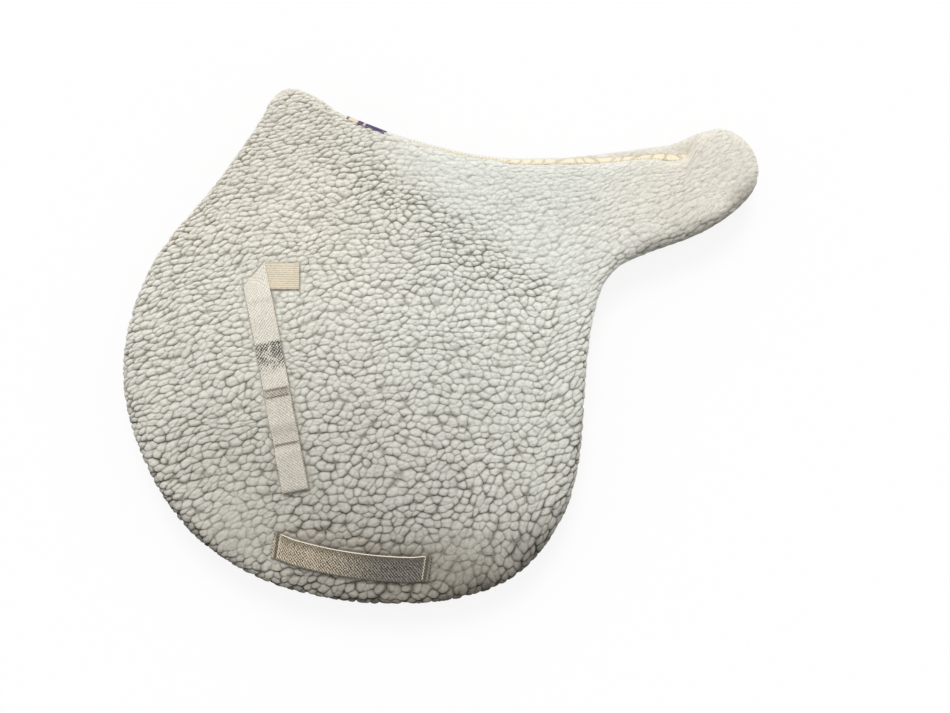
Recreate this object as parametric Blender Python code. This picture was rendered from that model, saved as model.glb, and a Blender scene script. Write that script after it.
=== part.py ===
"""Fleece jumping saddle pad, lying on its side, folded along its spine.

The pad is two mirrored panels. Each panel is an outer fleece, a foam core and a
lining fleece, sewn round the edge and turned. A tape over the spine joins them.
Each panel carries a girth strap, sewn at both ends, and a webbing tab with two
loops that hangs from a crease and turns out over the edge of the panel.

Units are metres, +Z up. X runs along the spine from the withers to the tail,
Y from the hem up to the spine, and Z through the folded pad. A height is
measured outwards from the fold's middle plane, so both panels use the same one.
"""

import math

import bmesh
import bpy
from mathutils import Matrix, Vector

MM = 0.001
CLEARANCE = 0.3 * MM
SHARP_ANGLE = math.radians(40)

# The panel's outline, from the wither peak along the spine and round clockwise. It is
# drawn in millimetres and then fitted to the panel's length and depth.
PANEL_LENGTH = 601.3 * MM
PANEL_DEPTH = 495 * MM
OUTLINE = [
    (-166, 247), (-138, 242), (-100, 223), (-31, 206), (37, 198), (106, 204),
    (175, 218), (216, 228), (240, 241), (262, 248), (286, 237), (300, 213),
    (293, 183), (256, 148), (196, 118), (168, 98), (155, 64), (152, -1),
    (153, -92), (137, -158), (96, -211), (29, -239), (-62, -247), (-154, -231),
    (-233, -182), (-287, -97), (-301, -16), (-280, 68), (-228, 147), (-191, 211),
    (-182, 232),
]
OUTLINE_STEPS = 3
SPINE_SPANS = 9

# The layers of a panel, from the middle plane outwards.
LINING_THICKNESS = 7 * MM
CORE_THICKNESS = 5 * MM
OUTER_PILE = 9.5 * MM
LINING_EDGE_INSET = 4 * MM
LINING_EDGE_DEPTH = 5 * MM
OUTER_EDGE_INSET = 13 * MM
OUTER_EDGE_DEPTH = 8.5 * MM
EDGE_STEPS = 4
SEAM_MARGIN = 8 * MM

# Webbing, tape and thread.
WEBBING_WIDTH = 25.4 * MM
WEBBING_THICKNESS = 1.3 * MM
TAPE_WIDTH = 10 * MM
TAPE_THICKNESS = 1.2 * MM
THREAD_RADIUS = 0.4 * MM
CORD_RADIUS = 0.8 * MM
CORD_INSET = 1.3 * MM
TAPE_FRONT_SETBACK = 63 * MM
TAPE_REAR_SETBACK = 34 * MM
TAPE_STEPS = 36
LABEL_LENGTH = 40 * MM
LABEL_WIDTH = 12 * MM
LABEL_THICKNESS = 0.5 * MM
LABEL_SETBACK = 2 * MM
LABEL_STITCH_INSET = 1.5 * MM

# How deep the webbing lies in the pile of each panel.
NEAR_SINK = 2.5 * MM
OFF_SINK = 8.3 * MM
SINK_MARGIN = 9 * MM
SINK_CORNER = 7 * MM

# The tab: where its crease begins, its two directions and its stations.
TAB_CORNER = Vector((-169.5 * MM, 74.5 * MM))
TAB_ROOT_ANGLE = math.radians(4.5)
TAB_HANG_ANGLE = math.radians(16.3)
TAB_ROOT_LENGTH = 33 * MM
TAB_LENGTH = 213 * MM
TAB_HEM = 110 * MM
TAB_UPPER_STITCH = 115 * MM
TAB_LOWER_STITCH = 166 * MM
TAB_DROP = 22 * MM
PINCH_LENGTH = 6 * MM
LOOP_RISE = 7 * MM
LOOP_GAP = 4.6 * MM
TAB_TACK_INSET = 4 * MM

# The girth strap: its middle, its lie and its bow.
GIRTH_CENTRE = Vector((-59.3 * MM, -202 * MM))
GIRTH_ANGLE = math.radians(-3.2)
GIRTH_LENGTH = 150 * MM
GIRTH_HEM = 8 * MM
GIRTH_RISE = 14 * MM
GIRTH_GAP = 4.8 * MM
GIRTH_SAG = 7 * MM
GIRTH_STEPS = 16

STITCH_PITCH = 3.4 * MM
STITCH_SWING = 1.2 * MM
TACK_MARGIN = 2 * MM

LINING_TOP = CLEARANCE / 2 + LINING_THICKNESS
OUTER_BASE = LINING_TOP + CLEARANCE
CORE_TOP = OUTER_BASE + CORE_THICKNESS
POCKET_TOP = CORE_TOP + CLEARANCE
PANEL_TOP = POCKET_TOP + OUTER_PILE
MIDDLE = PANEL_TOP

# Each panel folds about its own edge of the tape, on an axis along X. The axes stand
# off the peaks of the withers and tail by this much, so that the panels clear them.
FOLD_STANDOFF = 1.5 * MM

NEAR, OFF = 1, -1
SIDES = {"near": NEAR, "off": OFF}
SINKS = {"near": NEAR_SINK, "off": OFF_SINK}

COLOURS = {
    "fleece": ((0.70, 0.68, 0.62), 0.95),
    "foam": ((0.80, 0.76, 0.62), 0.9),
    "webbing": ((0.66, 0.58, 0.46), 0.8),
    "tape": ((0.80, 0.74, 0.60), 0.75),
    "thread": ((0.72, 0.66, 0.54), 0.6),
    "label": ((0.16, 0.06, 0.36), 0.6),
}


def clear_scene():
    """Empties the scene."""
    for thing in list(bpy.data.objects):
        bpy.data.objects.remove(thing)


def make_collection(name):
    """A collection of the scene."""
    group = bpy.data.collections.new(name)
    bpy.context.scene.collection.children.link(group)
    return group


def make_body(name, place, group):
    """An empty that stands for a body, on the axis that the body turns about."""
    body = bpy.data.objects.new(name, None)
    body.location = place
    body.empty_display_size = WEBBING_WIDTH
    group.objects.link(body)
    return body


def fold_axis(ring, side):
    """A point on the axis that a side folds about, at its edge of the tape."""
    height = MIDDLE + side * TAPE_WIDTH / 2
    return Vector((0, max(p.y for p in ring) + FOLD_STANDOFF, height))


def make_material(name):
    """A plain finish, with its colour and roughness."""
    colour, roughness = COLOURS[name]
    finish = bpy.data.materials.new(name)
    finish.use_nodes = True
    shader = finish.node_tree.nodes["Principled BSDF"]
    shader.inputs["Base Color"].default_value = (*colour, 1)
    shader.inputs["Roughness"].default_value = roughness
    return finish


def smooth_ring(points, steps):
    """A closed curve through the points, each span eased between its neighbours."""
    count = len(points)
    ring = []
    for i in range(count):
        before, start, end, after = (points[(i + k - 1) % count] for k in range(4))
        for step in range(steps):
            t = step / steps
            lead = end - before
            trail = after - start
            ring.append(
                start * (2 * t**3 - 3 * t**2 + 1)
                + end * (3 * t**2 - 2 * t**3)
                + lead * 0.5 * (t**3 - 2 * t**2 + t)
                + trail * 0.5 * (t**3 - t**2)
            )
    return ring


def fit(ring, length, depth):
    """The ring stretched to a length and depth, with its middle at the origin."""
    low = Vector((min(p.x for p in ring), min(p.y for p in ring)))
    high = Vector((max(p.x for p in ring), max(p.y for p in ring)))
    size, middle = high - low, (high + low) / 2
    stretch_x, stretch_y = length / size.x, depth / size.y
    return [Vector(((p.x - middle.x) * stretch_x, (p.y - middle.y) * stretch_y)) for p in ring]


def outward(points, i, closed=True):
    """The normal at a point of a line that runs clockwise, pointing out of it."""
    last = len(points) - 1
    if closed:
        before, after = points[i - 1], points[(i + 1) % len(points)]
    else:
        before, after = points[max(i - 1, 0)], points[min(i + 1, last)]
    along = (after - before).normalized()
    return Vector((-along.y, along.x))


def offset_line(points, distance, closed=True):
    """The line moved outwards by a distance."""
    return [p + outward(points, i, closed) * distance for i, p in enumerate(points)]


def finish_object(name, bm, side, finish, group, body=None):
    """Stands a mesh of heights on its side of the middle plane, as an object."""
    bmesh.ops.scale(bm, vec=(1, 1, side), verts=bm.verts)
    bmesh.ops.translate(bm, vec=(0, 0, MIDDLE), verts=bm.verts)
    bmesh.ops.recalc_face_normals(bm, faces=bm.faces)
    mesh = bpy.data.meshes.new(name)
    bm.to_mesh(mesh)
    bm.free()
    mesh.materials.append(finish)
    mesh.shade_smooth()
    mesh.set_sharp_from_angle(angle=SHARP_ANGLE)
    thing = bpy.data.objects.new(name, mesh)
    group.objects.link(thing)
    if body:
        thing.parent = body
        thing.location = -body.location
    return thing


def ellipse_steps(inset, depth, steps):
    """The inset and drop of each step round a quarter ellipse, from its wall inwards."""
    turns = [math.pi / 2 * k / steps for k in range(steps + 1)]
    runs = [inset * (1 - math.cos(a)) for a in turns]
    falls = [depth * math.sin(a) for a in turns]
    return [(runs[k + 1] - runs[k], falls[k + 1] - falls[k]) for k in range(steps)]


def inset(bm, face, thickness, depth=0.0):
    """Draws the face in by a thickness and moves it out by a depth."""
    bmesh.ops.inset_region(
        bm, faces=[face], thickness=thickness, depth=depth, use_even_offset=True
    )


def slab(ring, low, high):
    """A plate with the ring's outline, with its low and high faces."""
    bm = bmesh.new()
    corners = [bm.verts.new((p.x, p.y, low)) for p in ring]
    floor = bm.faces.new(corners)
    made = bmesh.ops.extrude_face_region(bm, geom=[floor], use_keep_orig=True)
    raised = [v for v in made["geom"] if isinstance(v, bmesh.types.BMVert)]
    bmesh.ops.translate(bm, vec=(0, 0, high - low), verts=raised)
    bmesh.ops.recalc_face_normals(bm, faces=bm.faces)
    bm.faces.ensure_lookup_table()
    roof = next(f for f in made["geom"] if isinstance(f, bmesh.types.BMFace))
    return bm, floor, roof


def round_edge(bm, face, inset_by, depth):
    """Rounds the rim of a face, which ends the depth further out."""
    for run, rise in ellipse_steps(inset_by, depth, EDGE_STEPS):
        inset(bm, face, run, rise)


def outer_fleece(ring):
    """The outer fleece: a round rim, and a pocket for the core under it."""
    bm, floor, roof = slab(ring, OUTER_BASE, PANEL_TOP - OUTER_EDGE_DEPTH)
    round_edge(bm, roof, OUTER_EDGE_INSET, OUTER_EDGE_DEPTH)
    inset(bm, floor, SEAM_MARGIN)
    pocket_wall = 0.05 * MM
    inset(bm, floor, pocket_wall, OUTER_BASE - POCKET_TOP)
    return bm


def lining_fleece(ring):
    """The lining fleece: flat towards the core, and a round rim on the fold's side."""
    low = LINING_TOP - LINING_THICKNESS
    bm, floor, _ = slab(ring, low + LINING_EDGE_DEPTH, LINING_TOP)
    round_edge(bm, floor, LINING_EDGE_INSET, LINING_EDGE_DEPTH)
    return bm


def foam_core(ring):
    """The foam core, which fills the pocket inside the seam."""
    margin = SEAM_MARGIN + 2 * THREAD_RADIUS + 3 * CLEARANCE
    bm, _, _ = slab(offset_line(ring, -margin), OUTER_BASE, CORE_TOP)
    return bm


def thread(points, radius, closed=False):
    """A tube along the points, as a mesh of heights."""
    curve = bpy.data.curves.new("thread", "CURVE")
    curve.dimensions = "3D"
    curve.bevel_depth = radius
    curve.bevel_resolution = 1
    curve.use_fill_caps = True
    spline = curve.splines.new("POLY")
    spline.points.add(len(points) - 1)
    for spot, p in zip(spline.points, points):
        spot.co = (*p, 1)
    spline.use_cyclic_u = closed
    guide = bpy.data.objects.new("thread", curve)
    bpy.context.scene.collection.objects.link(guide)
    bpy.context.view_layer.update()
    evaluated = guide.evaluated_get(bpy.context.evaluated_depsgraph_get())
    mesh = bpy.data.meshes.new_from_object(evaluated)
    bm = bmesh.new()
    bm.from_mesh(mesh)
    bmesh.ops.remove_doubles(bm, verts=bm.verts, dist=0.01 * MM)
    bpy.data.objects.remove(guide)
    bpy.data.meshes.remove(mesh)
    return bm


def zigzag(centre, across, height, length):
    """The points of a zigzag stitch of a length, about its middle."""
    count = max(2, round(length / STITCH_PITCH)) + 1
    along = Vector((across.x, across.y))
    swing = Vector((-across.y, across.x)) * STITCH_SWING
    points = []
    for k in range(count):
        spot = centre + along * length * (k / (count - 1) - 0.5)
        spot = spot + swing * (0.5 if k % 2 else -0.5)
        points.append((spot.x, spot.y, height))
    return points


def ribbon(rows):
    """Webbing from rows of its two edges and its lower face, given its thickness.

    Each row is its left and right point, its height and the tilt of its face, as
    the share of the thickness along the run and up."""
    bm = bmesh.new()
    faces = []
    for layer in (0, WEBBING_THICKNESS):
        for left, right, height, lean, up in rows:
            for p in (left, right):
                bm.verts.new((p.x + lean.x * layer, p.y + lean.y * layer, height + up * layer))
    bm.verts.ensure_lookup_table()
    count = len(rows)

    def spot(layer, row, edge):
        return bm.verts[(layer * count + row) * 2 + edge]

    for row in range(count - 1):
        for layer in (0, 1):
            faces.append([spot(layer, row, 0), spot(layer, row, 1),
                          spot(layer, row + 1, 1), spot(layer, row + 1, 0)])
        for edge in (0, 1):
            faces.append([spot(0, row, edge), spot(0, row + 1, edge),
                          spot(1, row + 1, edge), spot(1, row, edge)])
    for row in (0, count - 1):
        faces.append([spot(0, row, 0), spot(0, row, 1), spot(1, row, 1), spot(1, row, 0)])
    for corners in faces:
        bm.faces.new(corners)
    return bm


def profile_rows(path, left_at, right_at, along):
    """Rows for a ribbon along a path of distance and height of its lower face.

    The face turns with the path, so the thickness stays true round a bend."""
    rows = []
    for i, (run, height) in enumerate(path):
        before, after = path[max(i - 1, 0)], path[min(i + 1, len(path) - 1)]
        step = Vector((after[0] - before[0], after[1] - before[1])).normalized()
        lean = along * -step.y
        rows.append((left_at(run), right_at(run), height, lean, step.x))
    return rows


def tab_axes():
    """The root's and the tab's directions, the crease's and the crease's far end."""
    root = Vector((-math.cos(TAB_ROOT_ANGLE), -math.sin(TAB_ROOT_ANGLE)))
    hang = Vector((math.sin(TAB_HANG_ANGLE), -math.cos(TAB_HANG_ANGLE)))
    crease = (root + hang).normalized()
    across = abs(root.x * crease.y - root.y * crease.x)
    return root, hang, crease, TAB_CORNER + crease * (WEBBING_WIDTH / across)


def tab_root():
    """The sewn leg of the tab, from its stitched end to the crease."""
    root, _, _, far = tab_axes()
    end_top = TAB_CORNER - root * TAB_ROOT_LENGTH
    end_low = far + root * ((end_top - far).dot(root))
    height = CLEARANCE
    flat = Vector((0, 0))
    rows = [(end_top, end_low, height, flat, 1), (TAB_CORNER, far, height, flat, 1)]
    return ribbon(rows)


def loop_height(run, start, end, low, high):
    """The lower face of a loop's front: low at its stitches, flat and high between."""
    reach = min(run - start, end - run)
    share = min(max(reach / LOOP_RISE, 0), 1)
    return low + (high - low) * share * share * (3 - 2 * share)


def tab_path():
    """The strip's lower face from the crease, round the end and up to its hem."""
    lift = WEBBING_THICKNESS + CLEARANCE
    laid = CLEARANCE
    path = [(0, laid + lift), (TAB_DROP, laid + lift)]
    path += [(TAB_DROP + LOOP_RISE, laid), (TAB_HEM, laid), (TAB_LOWER_STITCH, laid)]
    return path


def tab_strap():
    """The hanging leg: a single strip to the hem, and a doubled one with two loops."""
    _, hang, crease, far = tab_axes()
    side = Vector((-hang.y, hang.x))
    middle = (TAB_CORNER + far) / 2
    slant = crease.dot(hang) / crease.dot(side)
    half = WEBBING_WIDTH / 2

    def edge(sign):
        def at(run):
            shift = sign * half * slant if run == 0 else 0
            return middle + hang * (run + shift) + side * sign * half
        return at

    back = profile_rows(tab_path(), edge(-1), edge(1), hang)
    low = CLEARANCE + WEBBING_THICKNESS
    pinch = low + CLEARANCE
    high = low + LOOP_GAP
    radius = (high + WEBBING_THICKNESS - CLEARANCE) / 2
    centre = (TAB_LENGTH - radius, CLEARANCE + radius)
    rows = back
    turns = 6
    for k in range(turns + 1):
        angle = math.pi * k / turns - math.pi / 2
        run = centre[0] + radius * math.cos(angle)
        height = centre[1] + radius * math.sin(angle)
        lean = hang * -math.cos(angle)
        rows.append((edge(-1)(run), edge(1)(run), height, lean, -math.sin(angle)))
    front = []
    loops = ((TAB_UPPER_STITCH + PINCH_LENGTH / 2, TAB_LOWER_STITCH - PINCH_LENGTH / 2),
             (TAB_LOWER_STITCH + PINCH_LENGTH / 2, TAB_LENGTH + LOOP_RISE))
    lower, upper = loops[1], loops[0]
    for share in (1, 0.5, 0):
        front.append((lower[0] + LOOP_RISE * share, lower))
    for share in (0, 0.5, 1):
        front.append((upper[1] - LOOP_RISE * share, upper))
    for share in (1, 0.5, 0):
        front.append((upper[0] + LOOP_RISE * share, upper))
    for run, (start, end) in front:
        height = loop_height(run, start, end, pinch, high)
        top = height + WEBBING_THICKNESS
        rows.append((edge(-1)(run), edge(1)(run), top, Vector((0, 0)), -1))
    top = pinch + WEBBING_THICKNESS
    rows.append((edge(-1)(TAB_HEM), edge(1)(TAB_HEM), top, Vector((0, 0)), -1))
    return ribbon(rows)


def girth_strap():
    """The girth strap: sewn flat at its ends, bowed off the pile and sagging between."""
    along = Vector((math.cos(GIRTH_ANGLE), math.sin(GIRTH_ANGLE)))
    side = Vector((-along.y, along.x))
    half = GIRTH_LENGTH / 2

    def edge(sign):
        def at(run):
            sag = GIRTH_SAG * (1 - (run / half) ** 2)
            return GIRTH_CENTRE + along * run + side * (sign * WEBBING_WIDTH / 2 - sag)
        return at

    path = []
    for k in range(GIRTH_STEPS + 1):
        run = -half + GIRTH_LENGTH * k / GIRTH_STEPS
        share = min(max((half - abs(run) - GIRTH_HEM) / GIRTH_RISE, 0), 1)
        path.append((run, CLEARANCE + GIRTH_GAP * share * share * (3 - 2 * share)))
    return ribbon(profile_rows(path, edge(-1), edge(1), along))


def sink_cutter(name, centre, along, length, width, floor, side, finish, group):
    """A block that presses a hollow into the pile down to a height.

    Its corners are round, and its sides slope at 45 degrees."""
    bm = bmesh.new()
    bmesh.ops.create_cube(bm, size=1)
    height = PANEL_TOP - floor + OUTER_EDGE_DEPTH
    bmesh.ops.scale(bm, vec=(length, width, height), verts=bm.verts)
    uprights = [e for e in bm.edges if abs(e.verts[0].co.z - e.verts[1].co.z) > height / 2]
    bmesh.ops.bevel(bm, geom=uprights, offset=SINK_CORNER, segments=3, profile=0.5,
                    affect="EDGES")
    rim = [v for v in bm.verts if v.co.z > 0]
    spread = ((length + 2 * height) / length, (width + 2 * height) / width, 1)
    bmesh.ops.scale(bm, vec=spread, verts=rim)
    turn = Matrix.Rotation(math.atan2(along.y, along.x), 4, "Z")
    place = Matrix.Translation((centre.x, centre.y, floor + height / 2))
    bmesh.ops.transform(bm, matrix=place @ turn, verts=bm.verts)
    cutter = finish_object(name, bm, side, finish, group)
    cutter.hide_render = True
    cutter.display_type = "WIRE"
    return cutter


def sinks(name, side, floor, finish, group):
    """The three hollows: under the girth strap, the tab and the tab's sewn leg."""
    root, hang, _, far = tab_axes()
    along = Vector((math.cos(GIRTH_ANGLE), math.sin(GIRTH_ANGLE)))
    down = Vector((along.y, -along.x))
    girth_width = WEBBING_WIDTH + GIRTH_SAG + 2 * SINK_MARGIN
    middle = (TAB_CORNER + far) / 2
    tab_start = -(WEBBING_WIDTH / 2 + SINK_MARGIN)
    tab_end = TAB_LENGTH + WEBBING_THICKNESS + SINK_MARGIN
    leg = TAB_ROOT_LENGTH + WEBBING_WIDTH + SINK_MARGIN
    leg_centre = TAB_CORNER - root * (TAB_ROOT_LENGTH - leg / 2 + CLEARANCE)
    leg_down = Vector((root.y, -root.x)) * -(WEBBING_WIDTH / 2)
    wide = WEBBING_WIDTH + 2 * SINK_MARGIN
    places = {
        "girth": (GIRTH_CENTRE + down * GIRTH_SAG / 2, along,
                  GIRTH_LENGTH + 2 * CLEARANCE + SINK_MARGIN, girth_width),
        "tab": (middle + hang * (tab_start + tab_end) / 2, hang, tab_end - tab_start, wide),
        "leg": (leg_centre + leg_down, root, leg, WEBBING_WIDTH + SINK_MARGIN),
    }
    return [
        sink_cutter(f"{name}_{key}_hollow", *place, floor, side, finish, group)
        for key, place in places.items()
    ]


def cut(thing, cutters):
    """Takes the cutters out of the piece."""
    for cutter in cutters:
        step = thing.modifiers.new(cutter.name, "BOOLEAN")
        step.operation = "DIFFERENCE"
        step.solver = "EXACT"
        step.object = cutter


def raise_mesh(bm, height):
    """Lifts a mesh of heights off the floor of its hollow."""
    bmesh.ops.translate(bm, vec=(0, 0, height), verts=bm.verts)
    return bm


def tab_axis(side, floor):
    """Where the tab's crease begins, between its two layers."""
    height = floor + CLEARANCE + WEBBING_THICKNESS + CLEARANCE / 2
    return Vector((TAB_CORNER.x, TAB_CORNER.y, MIDDLE + side * height))


def build_panel(name, ring, finishes, group, cutters):
    """One panel with its straps, stitches and hollows, and the body of its tab."""
    side = SIDES[name]
    floor = PANEL_TOP - SINKS[name]
    body = make_body(f"{name}_side", fold_axis(ring, side), group)
    tab_body = make_body(f"{name}_tab", tab_axis(side, floor), group)
    bodies = {"tab_strap": tab_body, "tab_upper_stitch": tab_body, "tab_lower_stitch": tab_body}
    fleece, thread_finish = finishes["fleece"], finishes["thread"]
    seam_inset = SEAM_MARGIN + THREAD_RADIUS + CLEARANCE
    seam = [(p.x, p.y, OUTER_BASE + THREAD_RADIUS) for p in offset_line(ring, -seam_inset)]
    outer = finish_object(f"{name}_outer_fleece", outer_fleece(ring), side, fleece, group, body)
    cut(outer, sinks(name, side, floor, fleece, cutters))
    plain = {
        "lining_fleece": (lining_fleece(ring), fleece),
        "foam_core": (foam_core(ring), finishes["foam"]),
        "edge_seam": (thread(seam, THREAD_RADIUS, closed=True), thread_finish),
    }
    for key, (bm, finish) in plain.items():
        finish_object(f"{name}_{key}", bm, side, finish, group, body)

    root, hang, _, far = tab_axes()
    stitch_top = THREAD_RADIUS + CLEARANCE
    single = CLEARANCE + WEBBING_THICKNESS + stitch_top
    double = single + WEBBING_THICKNESS + CLEARANCE
    tack = WEBBING_WIDTH - 2 * TACK_MARGIN
    middle = (TAB_CORNER + far) / 2
    across = Vector((-hang.y, hang.x))
    leg_across = Vector((-root.y, root.x))
    leg_end = TAB_CORNER - root * (TAB_ROOT_LENGTH - TAB_TACK_INSET)
    along = Vector((math.cos(GIRTH_ANGLE), math.sin(GIRTH_ANGLE)))
    girth_across = Vector((-along.y, along.x))
    reach = GIRTH_LENGTH / 2 - GIRTH_HEM / 2
    sag = GIRTH_SAG * (1 - (2 * reach / GIRTH_LENGTH) ** 2)
    rows = {
        "tab_root_stitch": (leg_end + leg_across * WEBBING_WIDTH / 2, leg_across, single),
        "tab_upper_stitch": (middle + hang * TAB_UPPER_STITCH, across, double),
        "tab_lower_stitch": (middle + hang * TAB_LOWER_STITCH, across, double),
    }
    for key, sign in (("girth_front_stitch", -1), ("girth_rear_stitch", 1)):
        spot = GIRTH_CENTRE + along * reach * sign - girth_across * sag
        rows[key] = (spot, girth_across, single)
    webbing = {
        "tab_root": tab_root(), "tab_strap": tab_strap(), "girth_strap": girth_strap(),
    }
    for key, bm in webbing.items():
        bm = raise_mesh(bm, floor)
        carrier = bodies.get(key, body)
        finish_object(f"{name}_{key}", bm, side, finishes["webbing"], group, carrier)
    for key, (centre, direction, height) in rows.items():
        points = zigzag(centre, direction, height + floor, tack)
        bm = thread(points, THREAD_RADIUS)
        carrier = bodies.get(key, body)
        finish_object(f"{name}_{key}", bm, side, thread_finish, group, carrier)


def spine_line(ring):
    """The stretch of the outline along the spine, from the wither peak to the tail's."""
    return ring[: SPINE_SPANS * OUTLINE_STEPS + 1]


def line_length(line):
    """The length of a line."""
    return sum((b - a).length for a, b in zip(line, line[1:]))


def stretch(line, start, end, count):
    """Points evenly along a part of a line, between two lengths from its first point."""
    lengths = [0.0]
    for a, b in zip(line, line[1:]):
        lengths.append(lengths[-1] + (b - a).length)
    points = []
    for k in range(count + 1):
        goal = start + (end - start) * k / count
        i = max(j for j in range(len(line) - 1) if j == 0 or lengths[j] <= goal)
        share = (goal - lengths[i]) / (lengths[i + 1] - lengths[i])
        points.append(line[i].lerp(line[i + 1], share))
    return points


def strip(line, offset, thickness, width):
    """A band that stands along a line, with its width through the pad."""
    inner = offset_line(line, offset, closed=False)
    outer = offset_line(line, offset + thickness, closed=False)
    bm, _, _ = slab(inner + outer[::-1], -width / 2, width / 2)
    return bm


def build_spine(ring, finishes, group):
    """The tape with its two rows of stitches, the label and the seams at its ends."""
    body = make_body("spine", fold_axis(ring, OFF), group)
    line = spine_line(ring)
    total = line_length(line)
    tape_end = total - TAPE_REAR_SETBACK
    tape_line = stretch(line, TAPE_FRONT_SETBACK, tape_end, TAPE_STEPS)
    tape = strip(tape_line, CLEARANCE, TAPE_THICKNESS, TAPE_WIDTH)
    finish_object("spine_tape", tape, NEAR, finishes["tape"], group, body)

    face = CLEARANCE + TAPE_THICKNESS
    row_height = TAPE_WIDTH / 2 - THREAD_RADIUS
    row_line = offset_line(tape_line, face + CLEARANCE + THREAD_RADIUS, closed=False)
    for name, side in SIDES.items():
        points = [(p.x, p.y, row_height) for p in row_line[1:-1]]
        bm = thread(points, THREAD_RADIUS)
        finish_object(f"spine_{name}_stitch", bm, side, finishes["thread"], group, body)

    label_start = TAPE_FRONT_SETBACK + LABEL_SETBACK
    label_end = label_start + LABEL_LENGTH
    label_line = stretch(line, label_start, label_end, 8)
    label_base = face + 2 * THREAD_RADIUS + 2 * CLEARANCE
    label = strip(label_line, label_base, LABEL_THICKNESS, LABEL_WIDTH)
    finish_object("spine_label", label, NEAR, finishes["label"], group, body)
    edge = stretch(line, label_start + LABEL_STITCH_INSET, label_end - LABEL_STITCH_INSET, 6)
    out = label_base + LABEL_THICKNESS + CLEARANCE + THREAD_RADIUS
    edge = offset_line(edge, out, closed=False)
    half = LABEL_WIDTH / 2 - LABEL_STITCH_INSET
    loop = [(p.x, p.y, half) for p in edge] + [(p.x, p.y, -half) for p in edge[::-1]]
    bm = thread(loop, THREAD_RADIUS, closed=True)
    finish_object("spine_label_stitch", bm, NEAR, finishes["thread"], group, body)

    ends = {
        "front": (0, TAPE_FRONT_SETBACK - CLEARANCE),
        "rear": (tape_end + CLEARANCE, total),
    }
    for name, (start, end) in ends.items():
        seam = offset_line(stretch(line, start, end, 10), -CORD_INSET, closed=False)
        bm = thread([(p.x, p.y, 0) for p in seam], CORD_RADIUS)
        finish_object(f"spine_{name}_seam", bm, NEAR, finishes["thread"], group, body)


def main():
    """Builds the whole pad."""
    clear_scene()
    group = make_collection("fleece_saddle_pad")
    cutters = make_collection("cutters")
    finishes = {name: make_material(name) for name in COLOURS}
    ring = smooth_ring([Vector(p) for p in OUTLINE], OUTLINE_STEPS)
    ring = fit(ring, PANEL_LENGTH, PANEL_DEPTH)
    for name in SIDES:
        build_panel(name, ring, finishes, group, cutters)
    build_spine(ring, finishes, group)


main()
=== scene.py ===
"""Dresses a folded fleece saddle pad: curled pile, webbing, tape, label and thread.

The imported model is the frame. Units are metres, +Z up. X runs along the spine from the
withers to the tail, Y from the hem up to the spine, and Z through the folded pad. A
height is measured outwards from the fold's middle plane, so both sides share one.
"""

import math

import bmesh
import bpy
import numpy as np
from bpy.props import FloatProperty, FloatVectorProperty, PointerProperty
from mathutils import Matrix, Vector


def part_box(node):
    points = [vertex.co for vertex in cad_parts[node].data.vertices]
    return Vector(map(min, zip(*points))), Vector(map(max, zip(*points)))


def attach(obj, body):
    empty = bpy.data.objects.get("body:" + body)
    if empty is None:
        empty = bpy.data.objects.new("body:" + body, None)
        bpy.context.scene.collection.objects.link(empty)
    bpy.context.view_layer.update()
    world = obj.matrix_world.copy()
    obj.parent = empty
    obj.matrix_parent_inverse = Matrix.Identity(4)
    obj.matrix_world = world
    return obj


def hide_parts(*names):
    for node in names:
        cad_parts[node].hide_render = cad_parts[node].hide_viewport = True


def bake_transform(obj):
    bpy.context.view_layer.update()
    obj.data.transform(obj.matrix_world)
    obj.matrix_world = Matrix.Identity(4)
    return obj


bl_info = {
    "name": "Fleece Saddle Pad",
    "version": (1, 0, 0),
    "blender": (4, 5, 0),
    "location": "View3D > Sidebar > Saddle Pad",
    "description": "Builds the fleece, webbing, tape, label and thread of a saddle pad",
    "category": "Add Mesh",
}

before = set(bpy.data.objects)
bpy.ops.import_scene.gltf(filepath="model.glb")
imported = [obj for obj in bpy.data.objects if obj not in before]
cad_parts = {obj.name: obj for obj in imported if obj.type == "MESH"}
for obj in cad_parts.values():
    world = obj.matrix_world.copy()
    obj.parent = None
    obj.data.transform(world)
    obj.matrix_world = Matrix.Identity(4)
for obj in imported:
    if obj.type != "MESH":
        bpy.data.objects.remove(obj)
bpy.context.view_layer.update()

MM = 0.001
SIDES = {"near": 1, "off": -1}
MIDDLE = (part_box("near_lining_fleece")[0].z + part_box("off_lining_fleece")[1].z) / 2
PANEL_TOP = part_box("near_outer_fleece")[1].z - MIDDLE
LINING_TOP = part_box("near_lining_fleece")[1].z - MIDDLE

# A point of the panel that sees the whole outline, and the outline's grid.
HEART = np.array([0.060, 0.120])
FIELD_STEP = 2 * MM
FIELD_MARGIN = 40 * MM
OUTLINE_STEPS = 6

# The camera looks straight down at this point, with the picture's width along TURN.
VIEW_CENTRE = (0.0417, 0.0029)
VIEW_TURN = math.atan2(0.094486, 0.995527)
VIEW_WIDTH = 0.9215
LENS = 50.0
SENSOR = 36.0

# The cord in the seams at the tape's ends: its radius and the length of its lay.
CORD_RADIUS = 0.75 * MM
CORD_LAY = 1.6 * MM

# The floor lies just under the pad. The sun shines down and towards the hem.
FLOOR_HALF = 3.0
FLOOR_LEVEL = -0.6 * MM
SUN_TOWARD = (0.10, -0.75, -0.85)
SUN_WIDTH = math.radians(24)

# Each fleece's rim, as insets from the outline and heights: its seam, the height of its
# bulge, and where its flat begins.
RIMS = {
    "outer": ((3 * MM, LINING_TOP + 0.4 * MM), LINING_TOP + 5.2 * MM, (14 * MM, PANEL_TOP)),
    "lining": ((3 * MM, LINING_TOP - 0.2 * MM), 4.2 * MM, (5 * MM, 0.2 * MM)),
}

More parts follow.
